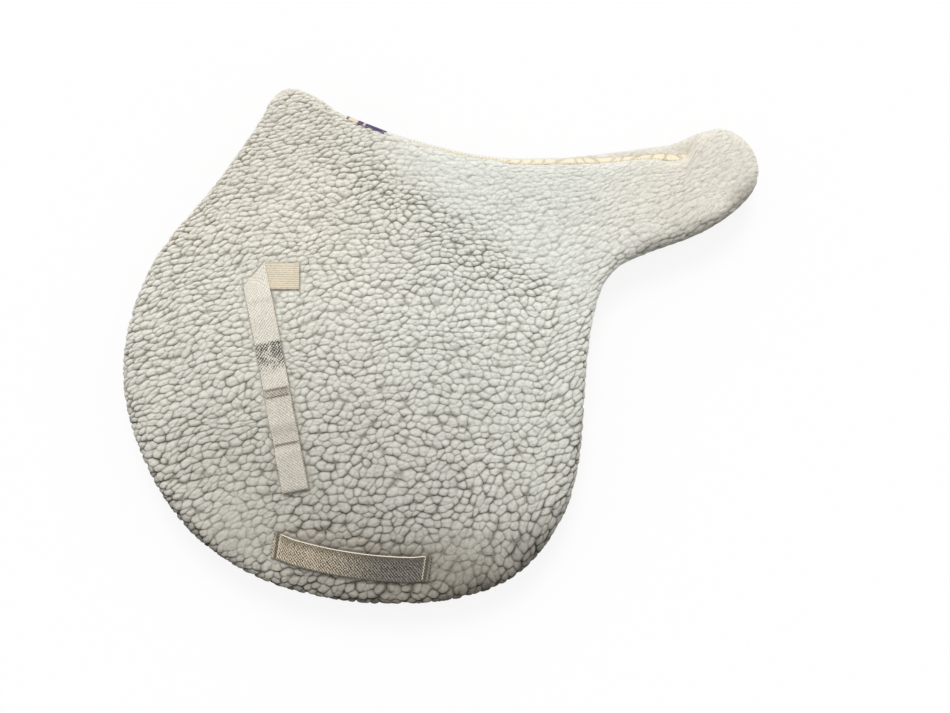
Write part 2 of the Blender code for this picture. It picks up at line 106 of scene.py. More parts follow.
# The share of the curls' depth that each fleece has, the width over which the pile rises
# beside a strap, the mesh step of a flat back, and the numbers that set chance apart.
DEPTH_SHARES = {"outer": 1.0, "lining": 0.7}
SHOULDERS = {"near": 9 * MM, "off": 14 * MM}
BACK_STEP = 9 * MM
SALTS = {"near": 11, "off": 211, "outer": 0, "lining": 97}

# A curl's height falls with a power of the way out from its top. Its centre strays in
# its cell, and its radius grows from a least one by chance, both in cells.
CURL_POWER = 3.2
CURL_STRAY = 0.72
CURL_RADIUS = 0.51
CURL_GROWTH = 0.25

# The pile's forms: a crevice's half width, how far curls lie lower by chance and slant,
# how deep the rim's strands are cut over what width, and how high and long it swells.
CREVICE = 0.56 * MM
CURL_DROP = 0.5 * MM
CURL_SLANT = 1.2 * MM
STRAND_DEPTH = 1.1 * MM
STRAND_WIDTH = 9 * MM
SWELL = 1.4 * MM
SWELL_LENGTH = 70 * MM

# Round patches of the pile by their centre and radius: worn smooth, and soiled more or
# less than the pile round them.
WORN_PATCHES = (((0.045, -0.192), 0.030), ((-0.172, -0.188), 0.034))
SOIL_PATCHES = (
    ((0.024, -0.210), 0.030, 0.26), ((-0.202, -0.124), 0.055, 0.22),
    ((-0.060, -0.236), 0.036, -0.45), ((-0.132, -0.220), 0.036, -0.50),
    ((-0.060, -0.185), 0.060, 0.20),
)

# Where the near edge is drawn back more: from where, over what width, by how many mm.
DRAWN_STEPS = ((-0.045, 0.05, 1.6), (0.035, 0.035, 3.6), (0.085, 0.09, 4.4), (0.188, 0.036, 7.8))

# The height and the two ends between which the outline is the spine's edge.
SPINE_FLOOR = 0.19
SPINE_ENDS = (-0.17, 0.27)

# How many stations the tape has along it, how many of them one of its stitches takes,
# half its thickness, the depth of its gathers, and the height and pitch of its cross ribs.
TAPE_STATIONS = 900
TAPE_STITCH = 9
TAPE_HALF_THICKNESS = 0.45 * MM
GATHER_DEPTH = 0.75 * MM
TAPE_RIB = 0.13 * MM
TAPE_RIB_PITCH = 1.7 * MM


def smooth(x):
    """Eases from 0 to 1 with level ends: 3x squared less 2x cubed, held outside."""
    x = np.clip(x, 0, 1)
    return x * x * (3 - 2 * x)


def hashed(i, j, salt):
    """Numbers from 0 to 1, one for each pair of whole numbers, by mixing their bits."""
    n = (i * 374761393 + j * 668265263 + salt * 362437) & 0xFFFFFFFF
    n = ((n ^ (n >> 13)) * 1274126177) & 0xFFFFFFFF
    n = ((n ^ (n >> 15)) * 1103515245) & 0xFFFFFFFF
    return (n ^ (n >> 16)) / 4294967296.0


def noise(x, y, salt):
    """Smooth noise from 0 to 1: random values at whole steps, eased between them."""
    i, j = np.floor(x).astype(np.int64), np.floor(y).astype(np.int64)
    u, v = smooth(x - i), smooth(y - j)
    low = hashed(i, j, salt) * (1 - u) + hashed(i + 1, j, salt) * u
    high = hashed(i, j + 1, salt) * (1 - u) + hashed(i + 1, j + 1, salt) * u
    return low * (1 - v) + high * v


def node_corners(name):
    """The corners of a CAD node's mesh, as an array."""
    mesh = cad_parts[name].data
    points = np.zeros(len(mesh.vertices) * 3, np.float32)
    mesh.vertices.foreach_get("co", points)
    return points.reshape(-1, 3).astype(float)


def outline_ring():
    """The panel's outline, from the flat face of the near lining, as a smooth loop.

    Its corners are put in order by their angle about the heart. Each span then
    follows the cubic through it that its two neighbours also lie on in direction."""
    points = node_corners("near_lining_fleece")
    flat = points[points[:, 2] > points[:, 2].max() - 0.1 * MM][:, :2]
    flat = np.unique(np.round(flat, 5), axis=0)
    away = flat - HEART
    ring = flat[np.argsort(-np.arctan2(away[:, 1], away[:, 0]))]
    t = (np.arange(OUTLINE_STEPS) / OUTLINE_STEPS)[None, :, None]
    p0, p1, p2, p3 = (np.roll(ring, 1 - k, axis=0)[:, None, :] for k in range(4))
    line = 0.5 * (
        2 * p1 + (p2 - p0) * t + (2 * p0 - 5 * p1 + 4 * p2 - p3) * t**2
        + (3 * p1 - p0 - 3 * p2 + p3) * t**3
    )
    return line.reshape(-1, 2)


def panel_field():
    """A grid of how far each point lies inside the outline, and which way is inwards.

    The distance is the least one to the outline's segments, less than 0 outside. A
    point is inside if a level line from it crosses the outline an odd number of times."""
    ring = outline_ring()
    low = ring.min(0) - FIELD_MARGIN
    count = np.ceil((ring.max(0) + FIELD_MARGIN - low) / FIELD_STEP).astype(int) + 1
    x = low[0] + FIELD_STEP * np.arange(count[0])[:, None]
    y = low[1] + FIELD_STEP * np.arange(count[1])[None, :]
    nearest = np.full(tuple(count), 1.0)
    inside = np.zeros(tuple(count), bool)
    for a, b in zip(ring, np.roll(ring, -1, axis=0)):
        run = b - a
        share = np.clip(((x - a[0]) * run[0] + (y - a[1]) * run[1]) / (run @ run), 0, 1)
        gap = (x - a[0] - share * run[0]) ** 2 + (y - a[1] - share * run[1]) ** 2
        nearest = np.minimum(nearest, gap)
        if a[1] != b[1]:
            spans = (a[1] > y) != (b[1] > y)
            inside ^= spans & (x < a[0] + (y - a[1]) * run[0] / run[1])
    distance = np.sqrt(nearest) * np.where(inside, 1, -1)
    return low, np.stack([distance, *np.gradient(distance, FIELD_STEP)])


def sample(field, x, y):
    """The field's distance and unit inward direction at points, blended from the grid."""
    low, grid = field
    u = np.clip((x - low[0]) / FIELD_STEP, 0, grid.shape[1] - 1.001)
    v = np.clip((y - low[1]) / FIELD_STEP, 0, grid.shape[2] - 1.001)
    i, j = u.astype(int), v.astype(int)
    u, v = u - i, v - j
    value = (
        (grid[:, i, j] * (1 - u) + grid[:, i + 1, j] * u) * (1 - v)
        + (grid[:, i, j + 1] * (1 - u) + grid[:, i + 1, j + 1] * u) * v
    )
    steep = np.maximum(np.hypot(value[1], value[2]), 1e-6)
    return value[0], value[1] / steep, value[2] / steep


def strap_gap(x, y, centre, along, half_length, half_width):
    """How far points lie outside a turned rectangle, less than 0 inside it."""
    u = (x - centre[0]) * along[0] + (y - centre[1]) * along[1]
    v = (y - centre[1]) * along[0] - (x - centre[0]) * along[1]
    past_u, past_v = np.abs(u) - half_length, np.abs(v) - half_width
    outside = np.hypot(np.maximum(past_u, 0), np.maximum(past_v, 0))
    return outside + np.minimum(np.maximum(past_u, past_v), 0)


def turn(angle):
    """The unit vector at an angle from +X."""
    return np.array([math.cos(angle), math.sin(angle)])


# The webbing's places, as in the frame. It lies sunk in the pile, by side.
WEBBING_WIDTH = 25.4 * MM
WEBBING_THICKNESS = 1.3 * MM
SINKS = {"near": 2.5 * MM, "off": 8.3 * MM}

# A strap's stitches: how far a row stops short of the strap's two edges together, how
# many it has, how far they swing to either side in mm, and their thread.
ROW_MARGIN = 3.4 * MM
ROW_STITCHES = 14
ROW_SWING = 0.8
STITCH_RADIUS = 0.38 * MM
STITCH_BOW = 0.34 * MM
HEM_ROWS = (-2.4, 4.4)

# Heights above the pressed pile: a strap's middle, the tab's upper layer where it is
# sewn down and where it loops, and how far a thread lies above the layer it holds.
STRAP_LIFT = 0.95 * MM
DOUBLE_LIFT = 2.55 * MM
LOOP_LIFT = 6.85 * MM
THREAD_LIFT = 0.7 * MM

TAB_CORNER = np.array([-169.5, 74.5]) * MM
TAB_ROOT_RUN = turn(math.radians(4.5))
TAB_RUN = turn(math.radians(16.3 - 90))
TAB_ROOT_LENGTH = 33 * MM
TAB_LENGTH = 213 * MM
GIRTH_CENTRE = np.array([-59.3, -202]) * MM
GIRTH_RUN = turn(math.radians(-3.2))
GIRTH_LENGTH = 150 * MM
GIRTH_SAG = 7 * MM

# The girth strap's ends: a hem past the solid's end, and a ridge and a groove across it.
GIRTH_HEM = 2.5 * MM
GIRTH_RIDGE = 1.8 * MM
GIRTH_GROOVE = 4.2 * MM
STITCH_INSET = 4 * MM

# Down the tab: its two rows of stitches, the end of its doubled strip, and the changes of
# its soil, each from one mark to another in mm and by how much. Between 130 and 155 mm
# the steps paint light and shade on the upper loop: lighter on its crest, darker past it.
TAB_UPPER_ROW = 115 * MM
TAB_LOWER_ROW = 166 * MM
TAB_STRIP_END = 111 * MM
TAB_SOIL_AND_LOOP_SHADE = (
    (15, 60, 0.14), (110.5, 111.5, 0.40), (119.5, 121.5, -0.18), (130, 140, -0.10),
    (146, 155, 0.12), (164.4, 165.6, 0.30), (167.4, 168.6, -0.30), (196, 214, 0.04),
)

# The tab's crease runs half way between its two legs, across the webbing.
CREASE = (TAB_RUN - TAB_ROOT_RUN) / np.linalg.norm(TAB_RUN - TAB_ROOT_RUN)
CREASE_LENGTH = WEBBING_WIDTH / abs(TAB_RUN[0] * CREASE[1] - TAB_RUN[1] * CREASE[0])
TAB_MIDDLE = TAB_CORNER + CREASE * CREASE_LENGTH / 2

# How far the legs' slant eases out from the crease, and the stations of the hanging leg
# that may slant, which leaves out the strip where it comes back over itself.
SLANT_RUN = 22 * MM
ROOT_SLANT_RUN = 24 * MM
SLANT_STATIONS = 40


def straps_gap(x, y):
    """How far points lie outside the nearest strap or the tab's crease."""
    girth_down = np.array([GIRTH_RUN[1], -GIRTH_RUN[0]])
    girth_run = (x - GIRTH_CENTRE[0]) * GIRTH_RUN[0] + (y - GIRTH_CENTRE[1]) * GIRTH_RUN[1]
    sag = GIRTH_SAG * np.maximum(1 - (2 * girth_run / GIRTH_LENGTH) ** 2, 0)
    root_side = np.array([TAB_ROOT_RUN[1], -TAB_ROOT_RUN[0]])
    root_middle = TAB_CORNER + TAB_ROOT_RUN * TAB_ROOT_LENGTH / 2 + root_side * WEBBING_WIDTH / 2
    return np.minimum.reduce((
        strap_gap(x - girth_down[0] * sag, y - girth_down[1] * sag, GIRTH_CENTRE, GIRTH_RUN,
                  GIRTH_LENGTH / 2, WEBBING_WIDTH / 2),
        strap_gap(x, y, TAB_MIDDLE + TAB_RUN * TAB_LENGTH / 2, TAB_RUN,
                  TAB_LENGTH / 2, WEBBING_WIDTH / 2),
        strap_gap(x, y, root_middle, TAB_ROOT_RUN, TAB_ROOT_LENGTH / 2, WEBBING_WIDTH / 2),
        strap_gap(x, y, TAB_MIDDLE, CREASE, CREASE_LENGTH / 2, 2 * MM),
    ))


def pressed(x, y, shoulder):
    """How far the straps press the pile down, from 0 to 1 under them."""
    return 1 - smooth((straps_gap(x, y) - 1 * MM) / shoulder)


def grain(x, y):
    """The way the curls lie, as an angle from +X, and how closely they keep to it.

    They lie in rising rows by the front edge, upright by the rear of the hem, and
    aslant on the tail. In between they lie almost anyhow."""
    front = smooth((-0.09 - x) / 0.15)
    upright = smooth((x + 0.02) / 0.10) * smooth((-0.06 - y) / 0.10)
    tail = smooth((x - 0.12) / 0.08) * smooth((y - 0.11) / 0.06)
    angle = 0.12 + 0.20 * front + 1.30 * upright + 0.55 * tail
    return angle, 0.25 + 0.25 * np.maximum.reduce([front, 1.6 * upright, tail])


def curls(x, y, pads, salt, share=1.0):
    """Packed curls of pile, as the upper envelope of one oval bump for each curl.

    The plane is bent, so that the rows rise towards the front edge, and stretched, so
    that the curls grow from the spine to the hem. One centre is set in each cell of a
    brick grid, off its middle by chance. A bump's height falls from its top with a
    power of the way out to its own oval, so a large curl covers its neighbours in a
    round edge, and a pit is left where three meet.

    The gap is how far a point lies from the line where the two tallest bumps are level:
    their difference over the difference of their slopes. The shifts take the point onto
    that line. The depth is that of its crevice, deepest between clumps of three curls.
    Level, own and tilt tell the tallest bump's height, its chance and its slant."""
    drift = pads.curl_drift
    x = x + drift * (noise(x / (35 * MM), y / (35 * MM), salt + 1) - 0.5)
    y = y + 1.4 * drift * (noise(x / (35 * MM), y / (35 * MM), salt + 2) - 0.5)
    lie, keeping = grain(x, y)
    y = y - 0.08 * x + 0.48 * np.minimum(x, 0) ** 2 - 0.40 * np.maximum(x - 0.11, 0)
    wide = share * (pads.curl_width - 0.3 * pads.curl_spread * y)
    tall = pads.curl_height - pads.curl_spread * y
    u = x / wide + 1000
    v = -np.log(tall / pads.curl_height) / (pads.curl_spread * share) + 1000
    tall = tall * share
    cell_i, cell_j = np.floor(u).astype(np.int64), np.floor(v).astype(np.int64)
    first = np.full((6,) + x.shape, -99.0)
    second = np.full((6,) + x.shape, -99.0)
    for dj in (-2, -1, 0, 1, 2):
        for di in (-2, -1, 0, 1, 2):
            i, j = cell_i + di, cell_j + dj
            chance = [hashed(i, j, salt + k) for k in range(3, 9)]
            off_u = u - (i + 0.5 * (j & 1) + CURL_STRAY * chance[0])
            off_v = v - (j + CURL_STRAY * chance[1])
            radius = CURL_RADIUS + CURL_GROWTH * chance[2]
            oval = 1 + (0.26 + 0.22 * keeping) * chance[3]
            turned = lie + math.pi * (chance[4] - 0.5) * (1 - keeping)
            across, along = np.cos(turned), np.sin(turned)
            p = (off_u * across + off_v * along) / (radius * oval)
            q = (off_v * across - off_u * along) * oval / radius
            out = p * p + q * q
            top = 0.84 + 0.08 * (chance[5] + chance[2])
            fall = top * out**(CURL_POWER / 2)
            steep = -CURL_POWER * fall / np.maximum(out, 1e-6)
            slope_u = steep * (p / (radius * oval) * across - q * oval / radius * along)
            slope_v = steep * (p / (radius * oval) * along + q * oval / radius * across)
            this = np.stack([top - fall, slope_u, slope_v, i, j, off_u * (chance[5] - 0.5)
                             + off_v * (chance[3] - 0.5)])
            higher = this[0] > first[0]
            between = ~higher & (this[0] > second[0])
            second = np.where(higher, first, np.where(between, this, second))
            first = np.where(higher, this, first)
    pull_u, pull_v = first[1] - second[1], first[2] - second[2]
    pull = np.maximum(np.hypot(pull_u, pull_v), 0.6)
    gap = (first[0] - second[0]) / pull
    i1, j1, i2, j2 = (a.astype(np.int64) for a in (first[3], first[4], second[3], second[4]))
    clump = [
        (np.floor((i + 3 * hashed(j // 2, j // 2, salt + 9)) / 3), j // 2)
        for i, j in ((i1, j1), (i2, j2))
    ]
    parted = (clump[0][0] != clump[1][0]) | (clump[0][1] != clump[1][1])
    pair = hashed(i1 * 7 + i2 * 7, j1 * 13 + j2 * 13, salt + 10)
    between_rows = np.abs(pull_v) / pull
    pair = pair * (0.35 + 0.65 * between_rows)
    return {
        "gap": gap * (wide + tall) / 2,
        "level": np.clip(first[0], -0.3, 1),
        "depth": np.where(parted, 0.72 + 0.28 * pair, 0.26 + 0.72 * pair),
        "own": hashed(i1, j1, salt + 11),
        "tilt": first[5],
        "shift_x": -pull_u / pull * gap * wide,
        "shift_y": -pull_v / pull * gap * tall,
    }


def spot(x, y, centre, radius):
    """A soft round patch: 1 at its centre, falling as a bell over its radius."""
    return np.exp(-((x - centre[0]) ** 2 + (y - centre[1]) ** 2) / radius**2)


def openness(x, y, distance):
    """How far apart the pile's curls stand: matted at the tail and along the spine."""
    open_up = 0.84 + 0.20 * smooth((0.05 - y) / 0.25)
    streak = noise((x + 0.5 * y) / (60 * MM), (y - 0.3 * x) / (22 * MM), 401)
    open_up = open_up + 0.14 * (streak - 0.5)
    above = 0.55 * x + y - 0.130
    valley = np.exp(-(((above + 0.012) / 0.022) ** 2)) * smooth((x + 0.16) / 0.06)
    open_up = open_up + 0.16 * valley * smooth((0.13 - x) / 0.05)
    tail = smooth((x - 0.12) / 0.08) * smooth((y - 0.13) / 0.05)
    matted = smooth(above / 0.030) * smooth((x + 0.09) / 0.06)
    open_up = open_up * (1 - 0.42 * matted) * (1 - 0.32 * tail)
    spine = np.exp(-((distance / 0.030) ** 2)) * smooth((y - 0.12) / 0.05)
    open_up = open_up * (1 - 0.6 * spine * smooth((x + 0.10) / 0.06))
    open_up = open_up * (1 - 0.13 * smooth((-0.06 - x) / 0.06) * smooth((y - 0.09) / 0.06))
    worn = sum(spot(x, y, centre, radius) for centre, radius in WORN_PATCHES)
    open_up = open_up * (1 - 0.45 * np.minimum(worn, 1))
    return open_up + 0.35 * np.exp(-((distance / 0.010) ** 2)) * smooth((0.235 - y) / 0.04)


def soil_and_falloff(x, y):
    """How soiled the pile is, with painted shade that falls off away from the light as well:
    more and more towards the hem, less at its front.
    """
    soil = 1.05 * np.clip((0.05 - y) / 0.295, 0, 1) + 0.6 * smooth((-0.15 - y) / 0.09)
    soil = soil * (1 - 0.25 * smooth((x + 0.02) / 0.14) * smooth((y + 0.16) / 0.06))
    soil = soil * (1 - 0.36 * smooth((-0.12 - x) / 0.10))
    soil = soil + 0.28 * smooth((x + 0.10) / 0.20) * smooth((-0.14 - y) / 0.11)
    soil = soil + 0.15 * smooth((x - 0.15) / 0.06) * smooth((y - 0.11) / 0.05)
    patches = sum(share * spot(x, y, centre, radius) for centre, radius, share in SOIL_PATCHES)
    return np.maximum(soil + patches, 0)


def warmth(x, y):
    """How yellow the clean pile is: most at the tail, by the withers and in a thin line
    above the girth strap."""
    tail = smooth((x - 0.10) / 0.14) * smooth((y - 0.08) / 0.09)
    withers = smooth((0.02 - x) / 0.16) * smooth((y + 0.02) / 0.14)
    front = smooth((0.02 - x) / 0.20)
    girth = np.exp(-(((y + 0.0565 * x + 0.190) / 0.006) ** 2)) * smooth((-0.02 - x) / 0.05)
    girth = girth * smooth((x + 0.14) / 0.02)
    return np.maximum.reduce([0.95 * tail, 0.75 * withers, 0.4 * front, 2.2 * girth])


def rim_strands(distance, x, y):
    """Fine strands that run out over the rim, as noise drawn out from the middle."""
    around = np.arctan2(y - HEART[1], x - HEART[0]) * 300 * MM
    coarse = noise(around / (3.4 * MM), distance / (16 * MM), 501)
    return 0.55 * noise(around / (1.3 * MM), distance / (7 * MM), 502) + 0.45 * coarse


def rim_shade(distance, inward_y, x, y):
    """Painted shade round the rim, deepest on edges that face the hem, away from the sun:
    widest at the rear of the hem, narrow at the front.

    It falls off inwards as a power of e, over a width that wanders with a noise."""
    lower = smooth(0.32 + 0.9 * inward_y)
    hem = smooth((0.05 - y) / 0.22)
    tail = smooth((x - 0.08) / 0.06) * smooth((y - 0.08) / 0.05)
    rear = smooth((x - 0.01) / 0.07)
    width = (2.6 + lower * hem * (2.6 + 9.0 * rear) + 6.0 * tail) * MM
    width = width * (0.45 + 1.1 * noise(x / (17 * MM), y / (17 * MM), 503))
    strength = np.maximum(0.30 + 0.65 * hem, 0.70 * tail) * lower
    strength = np.maximum(strength, 0.42 * rear * smooth((0.06 - y) / 0.10))
    ragged = 0.70 + 0.60 * rim_strands(distance, x, y)
    return strength * ragged * np.exp(-((np.maximum(distance, 0) / width) ** 1.5))


def drawn_back(x):
    """How far the near panel's edge is drawn back from the tape, towards the tail.

    It grows by eased steps, and is back at nothing where the tape ends."""
    total = sum(share * smooth((x - start) / width) for start, width, share in DRAWN_STEPS)
    return total * MM * smooth((0.239 - x) / 0.011)


def pushed_out(x):
    """How far the off panel's edge stands out past the tape, towards the tail."""
    return 3.4 * MM * smooth((x - 0.045) / 0.09) * smooth((0.275 - x) / 0.04)


def quarter_profile(seam, bulge, flat):
    """A fleece's section from its seam round its rim: two quarters of an ellipse.

    The first runs out from the seam to the bulge, and the second in to the flat. Each
    place is an inset from the outline and a height. Gives the run along it too."""
    t = np.linspace(0, math.pi / 2, 24)
    inset = np.concatenate([seam[0] * (1 - np.sin(t)), flat[0] * (1 - np.cos(t[1:]))])
    height = np.concatenate([
        bulge - (bulge - seam[1]) * np.cos(t),
        bulge + (flat[1] - bulge) * np.sin(t[1:]),
    ])
    run = np.concatenate([[0], np.cumsum(np.hypot(np.diff(inset), np.diff(height)))])
    return run, inset, height


def mesh_object(name, points, faces, material, attributes=None):
    """A smooth object from arrays: points, and lists of face arrays of one size each."""
    mesh = bpy.data.meshes.new(name)
    mesh.vertices.add(len(points))
    mesh.vertices.foreach_set("co", points.astype(np.float32).ravel())
    sizes = np.concatenate([np.full(len(f), f.shape[1]) for f in faces])
    mesh.loops.add(int(sizes.sum()))
    corners = np.concatenate([f.ravel() for f in faces])
    mesh.loops.foreach_set("vertex_index", corners.astype(np.int32))
    mesh.polygons.add(len(sizes))
    starts = np.concatenate([[0], np.cumsum(sizes)[:-1]])
    mesh.polygons.foreach_set("loop_start", starts.astype(np.int32))
    mesh.update(calc_edges=True)
    mesh.shade_smooth()
    for key, values in (attributes or {}).items():
        layer = mesh.attributes.new(key, "FLOAT", "POINT")
        layer.data.foreach_set("value", values.astype(np.float32))
    mesh.materials.append(material)
    thing = bpy.data.objects.new(name, mesh)
    bpy.context.scene.collection.objects.link(thing)
    return thing


def level_grid(low, high, step):
    """The X and the Y of evenly spaced places from one corner to just past the other."""
    count = np.ceil((high - low) / step).astype(int) + 1
    return np.meshgrid(*(low[k] + step * np.arange(count[k]) for k in (0, 1)), indexing="ij")


def uses_of(keep):
    """How many kept quads of a grid meet at each of its places."""
    uses = np.zeros((keep.shape[0] + 1, keep.shape[1] + 1), int)
    for di in (0, 1):
        for dj in (0, 1):
            uses[di:di + keep.shape[0], dj:dj + keep.shape[1]] += keep
    return uses


def grid_quads(keep, index):
    """The corner numbers of the kept quads of a grid, counter-clockwise."""
    i, j = np.nonzero(keep)
    return np.stack([index[i, j], index[i + 1, j], index[i + 1, j + 1], index[i, j + 1]], 1)


def border_edges(quads):
    """The edges that only one quad uses."""
    edges = np.concatenate([quads[:, [k, (k + 1) % 4]] for k in range(4)])
    ordered = np.sort(edges, axis=1)
    _, place, count = np.unique(ordered, axis=0, return_index=True, return_counts=True)
    return edges[place[count == 1]]


def fill_between(points, outer_edges, inner_edges):
    """Triangles in the level ring between two borders, as corner numbers, facing up."""
    used = np.unique(np.concatenate([outer_edges.ravel(), inner_edges.ravel()]))
    place = {int(n): k for k, n in enumerate(used)}
    bm = bmesh.new()
    verts = [bm.verts.new((points[n, 0], points[n, 1], 0)) for n in used]
    edges = [
        bm.edges.new((verts[place[int(a)]], verts[place[int(b)]]))
        for a, b in np.concatenate([outer_edges, inner_edges])
    ]
    made = bmesh.ops.triangle_fill(bm, use_beauty=True, edges=edges)
    bm.verts.index_update()
    triangles = np.array([
        [used[v.index] for v in f.verts] for f in made["geom"] if isinstance(f, bmesh.types.BMFace)
    ])
    bm.free()
    a, b, c = (points[triangles[:, k], :2] for k in range(3))
    area = (b[:, 0] - a[:, 0]) * (c[:, 1] - a[:, 1]) - (b[:, 1] - a[:, 1]) * (c[:, 0] - a[:, 0])
    return np.where(area[:, None] > 0, triangles, triangles[:, ::-1])


def start_grid(field, extra, step):
    """A level grid over the outline grown by an extra run.

    It keeps the quads whose middle lies inside, and its border is moved onto the grown
    outline. Gives its places, its quads and which places are on the border."""
    ring = outline_ring()
    x, y = level_grid(ring.min(0) - extra - 2 * step, ring.max(0) + extra + 2 * step, step)
    run = sample(field, x, y)[0] + extra
    keep = (run[:-1, :-1] + run[1:, :-1] + run[:-1, 1:] + run[1:, 1:]) / 4 > 0
    uses = uses_of(keep)
    inner = uses > 0
    index = np.full(x.shape, -1)
    index[inner] = np.arange(inner.sum())
    edge = (uses < 4)[inner]
    x, y, run = x[inner], y[inner], run[inner]
    _, gx, gy = sample(field, x, y)
    x, y = np.where(edge, x - gx * run, x), np.where(edge, y - gy * run, y)
    return x, y, grid_quads(keep, index), edge


def round_rim(rim, run, face):
    """Where a run lands on a rim: its inset, its height, and the normal's in and up there.

    Past the rim's length the height stays and the inset grows with the run."""
    rim_run, rim_inset, rim_height = rim
    inset = np.where(run > rim_run[-1], rim_inset[-1] + run - rim_run[-1],
                     np.interp(run, rim_run, rim_inset))
    height = np.interp(run, rim_run, rim_height)
    slope_in = np.interp(run, rim_run, np.gradient(rim_inset, rim_run))
    slope_up = np.interp(run, rim_run, np.gradient(rim_height, rim_run))
    steep = np.hypot(slope_in, slope_up)
    return inset, height, -face * slope_up / steep, face * slope_in / steep


def fleece_surface(field, pads, kind, side_name, step):
    """The curled face of one fleece as arrays: places, quads, border and attributes.

    The face starts as a level grid over the outline grown by the rim's extra run. A
    point's run is its distance inside that. Up to the rim's length it is carried round
    the rim, and past it, it stays where it is. The curls then move it along its normal,
    the straps press it down, and its edge is drawn back or pushed out by the tape."""
    face = 1 if kind == "outer" else -1
    rim = quarter_profile(*RIMS[kind])
    deep = pads.curl_depth * DEPTH_SHARES[kind]
    extra = rim[0][-1] - rim[1][-1]
    salt = SALTS[side_name] + SALTS[kind]
    x, y, quads, edge = start_grid(field, extra, step)

    pattern = curls(x, y, pads, salt)
    snap = (pattern["gap"] < 0.55 * step) & ~edge
    x = x + np.where(snap, pattern["shift_x"], 0)
    y = y + np.where(snap, pattern["shift_y"], 0)
    gap = np.where(snap, 0, pattern["gap"])
    distance, gx, gy = sample(field, x, y)
    run = np.where(edge, 0, np.maximum(distance + extra, 0))
    inset, height, normal_in, normal_up = round_rim(rim, run, face)

    fine = curls(x, y, pads, salt + 40, 0.5)
    opened = openness(x, y, distance)
    press = pressed(x, y, SHOULDERS[side_name]) if kind == "outer" else 0 * x
    gap = gap * (run > 0)
    line = pattern["depth"] * np.exp(-((gap / CREVICE) ** 1.3))
    small = 1 - np.clip(fine["level"], 0, 1)
    sunk = 0.75 * (1 - pattern["level"]) + 0.25 * line
    rise = -deep * opened * (sunk + 0.16 * small)
    rise = rise - CURL_DROP * (1 - pattern["own"]) + CURL_SLANT * pattern["tilt"]
    edge_pile = np.exp(-((distance / STRAND_WIDTH) ** 2)) * smooth((0.10 - y) / 0.08)
    rise = rise - STRAND_DEPTH * edge_pile * rim_strands(distance, x, y)
    rise = np.minimum(rise, 0) * (1 - 0.55 * press) * smooth(run / (3 * MM))

    x = x + gx * (inset - distance + 0.5 * normal_in * rise)
    y = y + gy * (inset - distance + 0.5 * normal_in * rise)
    back = drawn_back(x) if side_name == "near" else -pushed_out(x)
    reach = 16 * MM + 0.8 * np.maximum(back, 0)
    y = y - back * np.exp(-((distance / reach) ** 2)) * smooth(-1.5 * gy)
    height = height + normal_up * rise
    if kind == "outer":
        flat = smooth((inset - 4 * MM) / (14 * MM))
        height = height - press * (SINKS[side_name] - 0.1 * MM) * flat
        swell = noise(x / SWELL_LENGTH, y / SWELL_LENGTH, salt + 50)
        height = height - SWELL * swell * flat * (1 - press)
    # Painted shade: the crevice mark darkens the lines between curls and the pits where they meet.
    pit = smooth((0.40 - pattern["level"]) / 0.6)
    crease = (0.90 * line + 0.35 * pit) * opened**1.5
    if kind == "outer":
        # The straps' painted shadow, cast towards the hem and the tail.
        under = np.minimum(straps_gap(x, y), straps_gap(x - 0.5 * MM, y + 1.2 * MM))
        crease = np.maximum(crease, 0.75 * np.exp(-((under / (1.2 * MM)) ** 2)))
    attributes = {
        "crevice": crease, "shade": 0.5 * small, "own": pattern["own"], "soil": soil_and_falloff(x, y),
        "warmth": warmth(x, y), "rim": rim_shade(inset, gy, x, y),
    }
    points = np.stack([x, y, MIDDLE + SIDES[side_name] * height], 1)
    return points, quads, edge, attributes


def fleece_piece(field, pads, kind, side_name, step, material):
    """A closed fleece: the curled face, a coarse flat back and a ring that joins them."""
    points, quads, edge, attributes = fleece_surface(field, pads, kind, side_name, step)
    upward = SIDES[side_name] * (1 if kind == "outer" else -1)
    level = points[edge, 2].mean()
    x, y = level_grid(points[:, :2].min(0), points[:, :2].max(0), BACK_STEP)
    inside = sample(field, x, y)[0] > 3 * MM + 0.8 * BACK_STEP
    keep = inside[:-1, :-1] & inside[1:, :-1] & inside[:-1, 1:] & inside[1:, 1:]
    used = uses_of(keep) > 0
    index = np.full(x.shape, -1)
    index[used] = len(points) + np.arange(used.sum())
    back = grid_quads(keep, index)
    rear = np.stack([x[used], y[used], np.full(used.sum(), level)], 1)
    whole = np.concatenate([points, rear])
    ring = fill_between(whole, border_edges(quads), border_edges(back))
    if upward > 0:
        back, ring = back[:, ::-1], ring[:, ::-1]
    else:
        quads = quads[:, ::-1]
    padded = {key: np.concatenate([v, np.zeros(len(rear))]) for key, v in attributes.items()}
    name = f"{side_name}_{kind}_pile"
    return mesh_object(name, whole, [quads, back, ring], material, padded)


def section(half_width, half_thickness, columns, ribs=0, rib_rise=0.0):
    """A flat band's closed section: places across it and above its middle.

    The upper face runs from left to right and the lower one back. Each edge is half
    round, and ribs raise both faces in a cosine."""
    flat = half_width - half_thickness
    turns = np.linspace(math.pi / 2, 0, 4)[:-1]
    across = np.concatenate([
        -flat - half_thickness * np.cos(turns)[::-1], np.linspace(-flat, flat, columns),
        flat + half_thickness * np.cos(turns),
    ])
    past = np.clip((np.abs(across) - flat) / half_thickness, 0, 1)
    rise = half_thickness * np.sqrt(1 - past**2)
    wave = rib_rise * (0.5 + 0.5 * np.cos(2 * math.pi * ribs * across / (2 * half_width)))
    rise = rise + wave * (past == 0)
    return np.concatenate([across, across[-2:0:-1]]), np.concatenate([rise, -rise[-2:0:-1]])


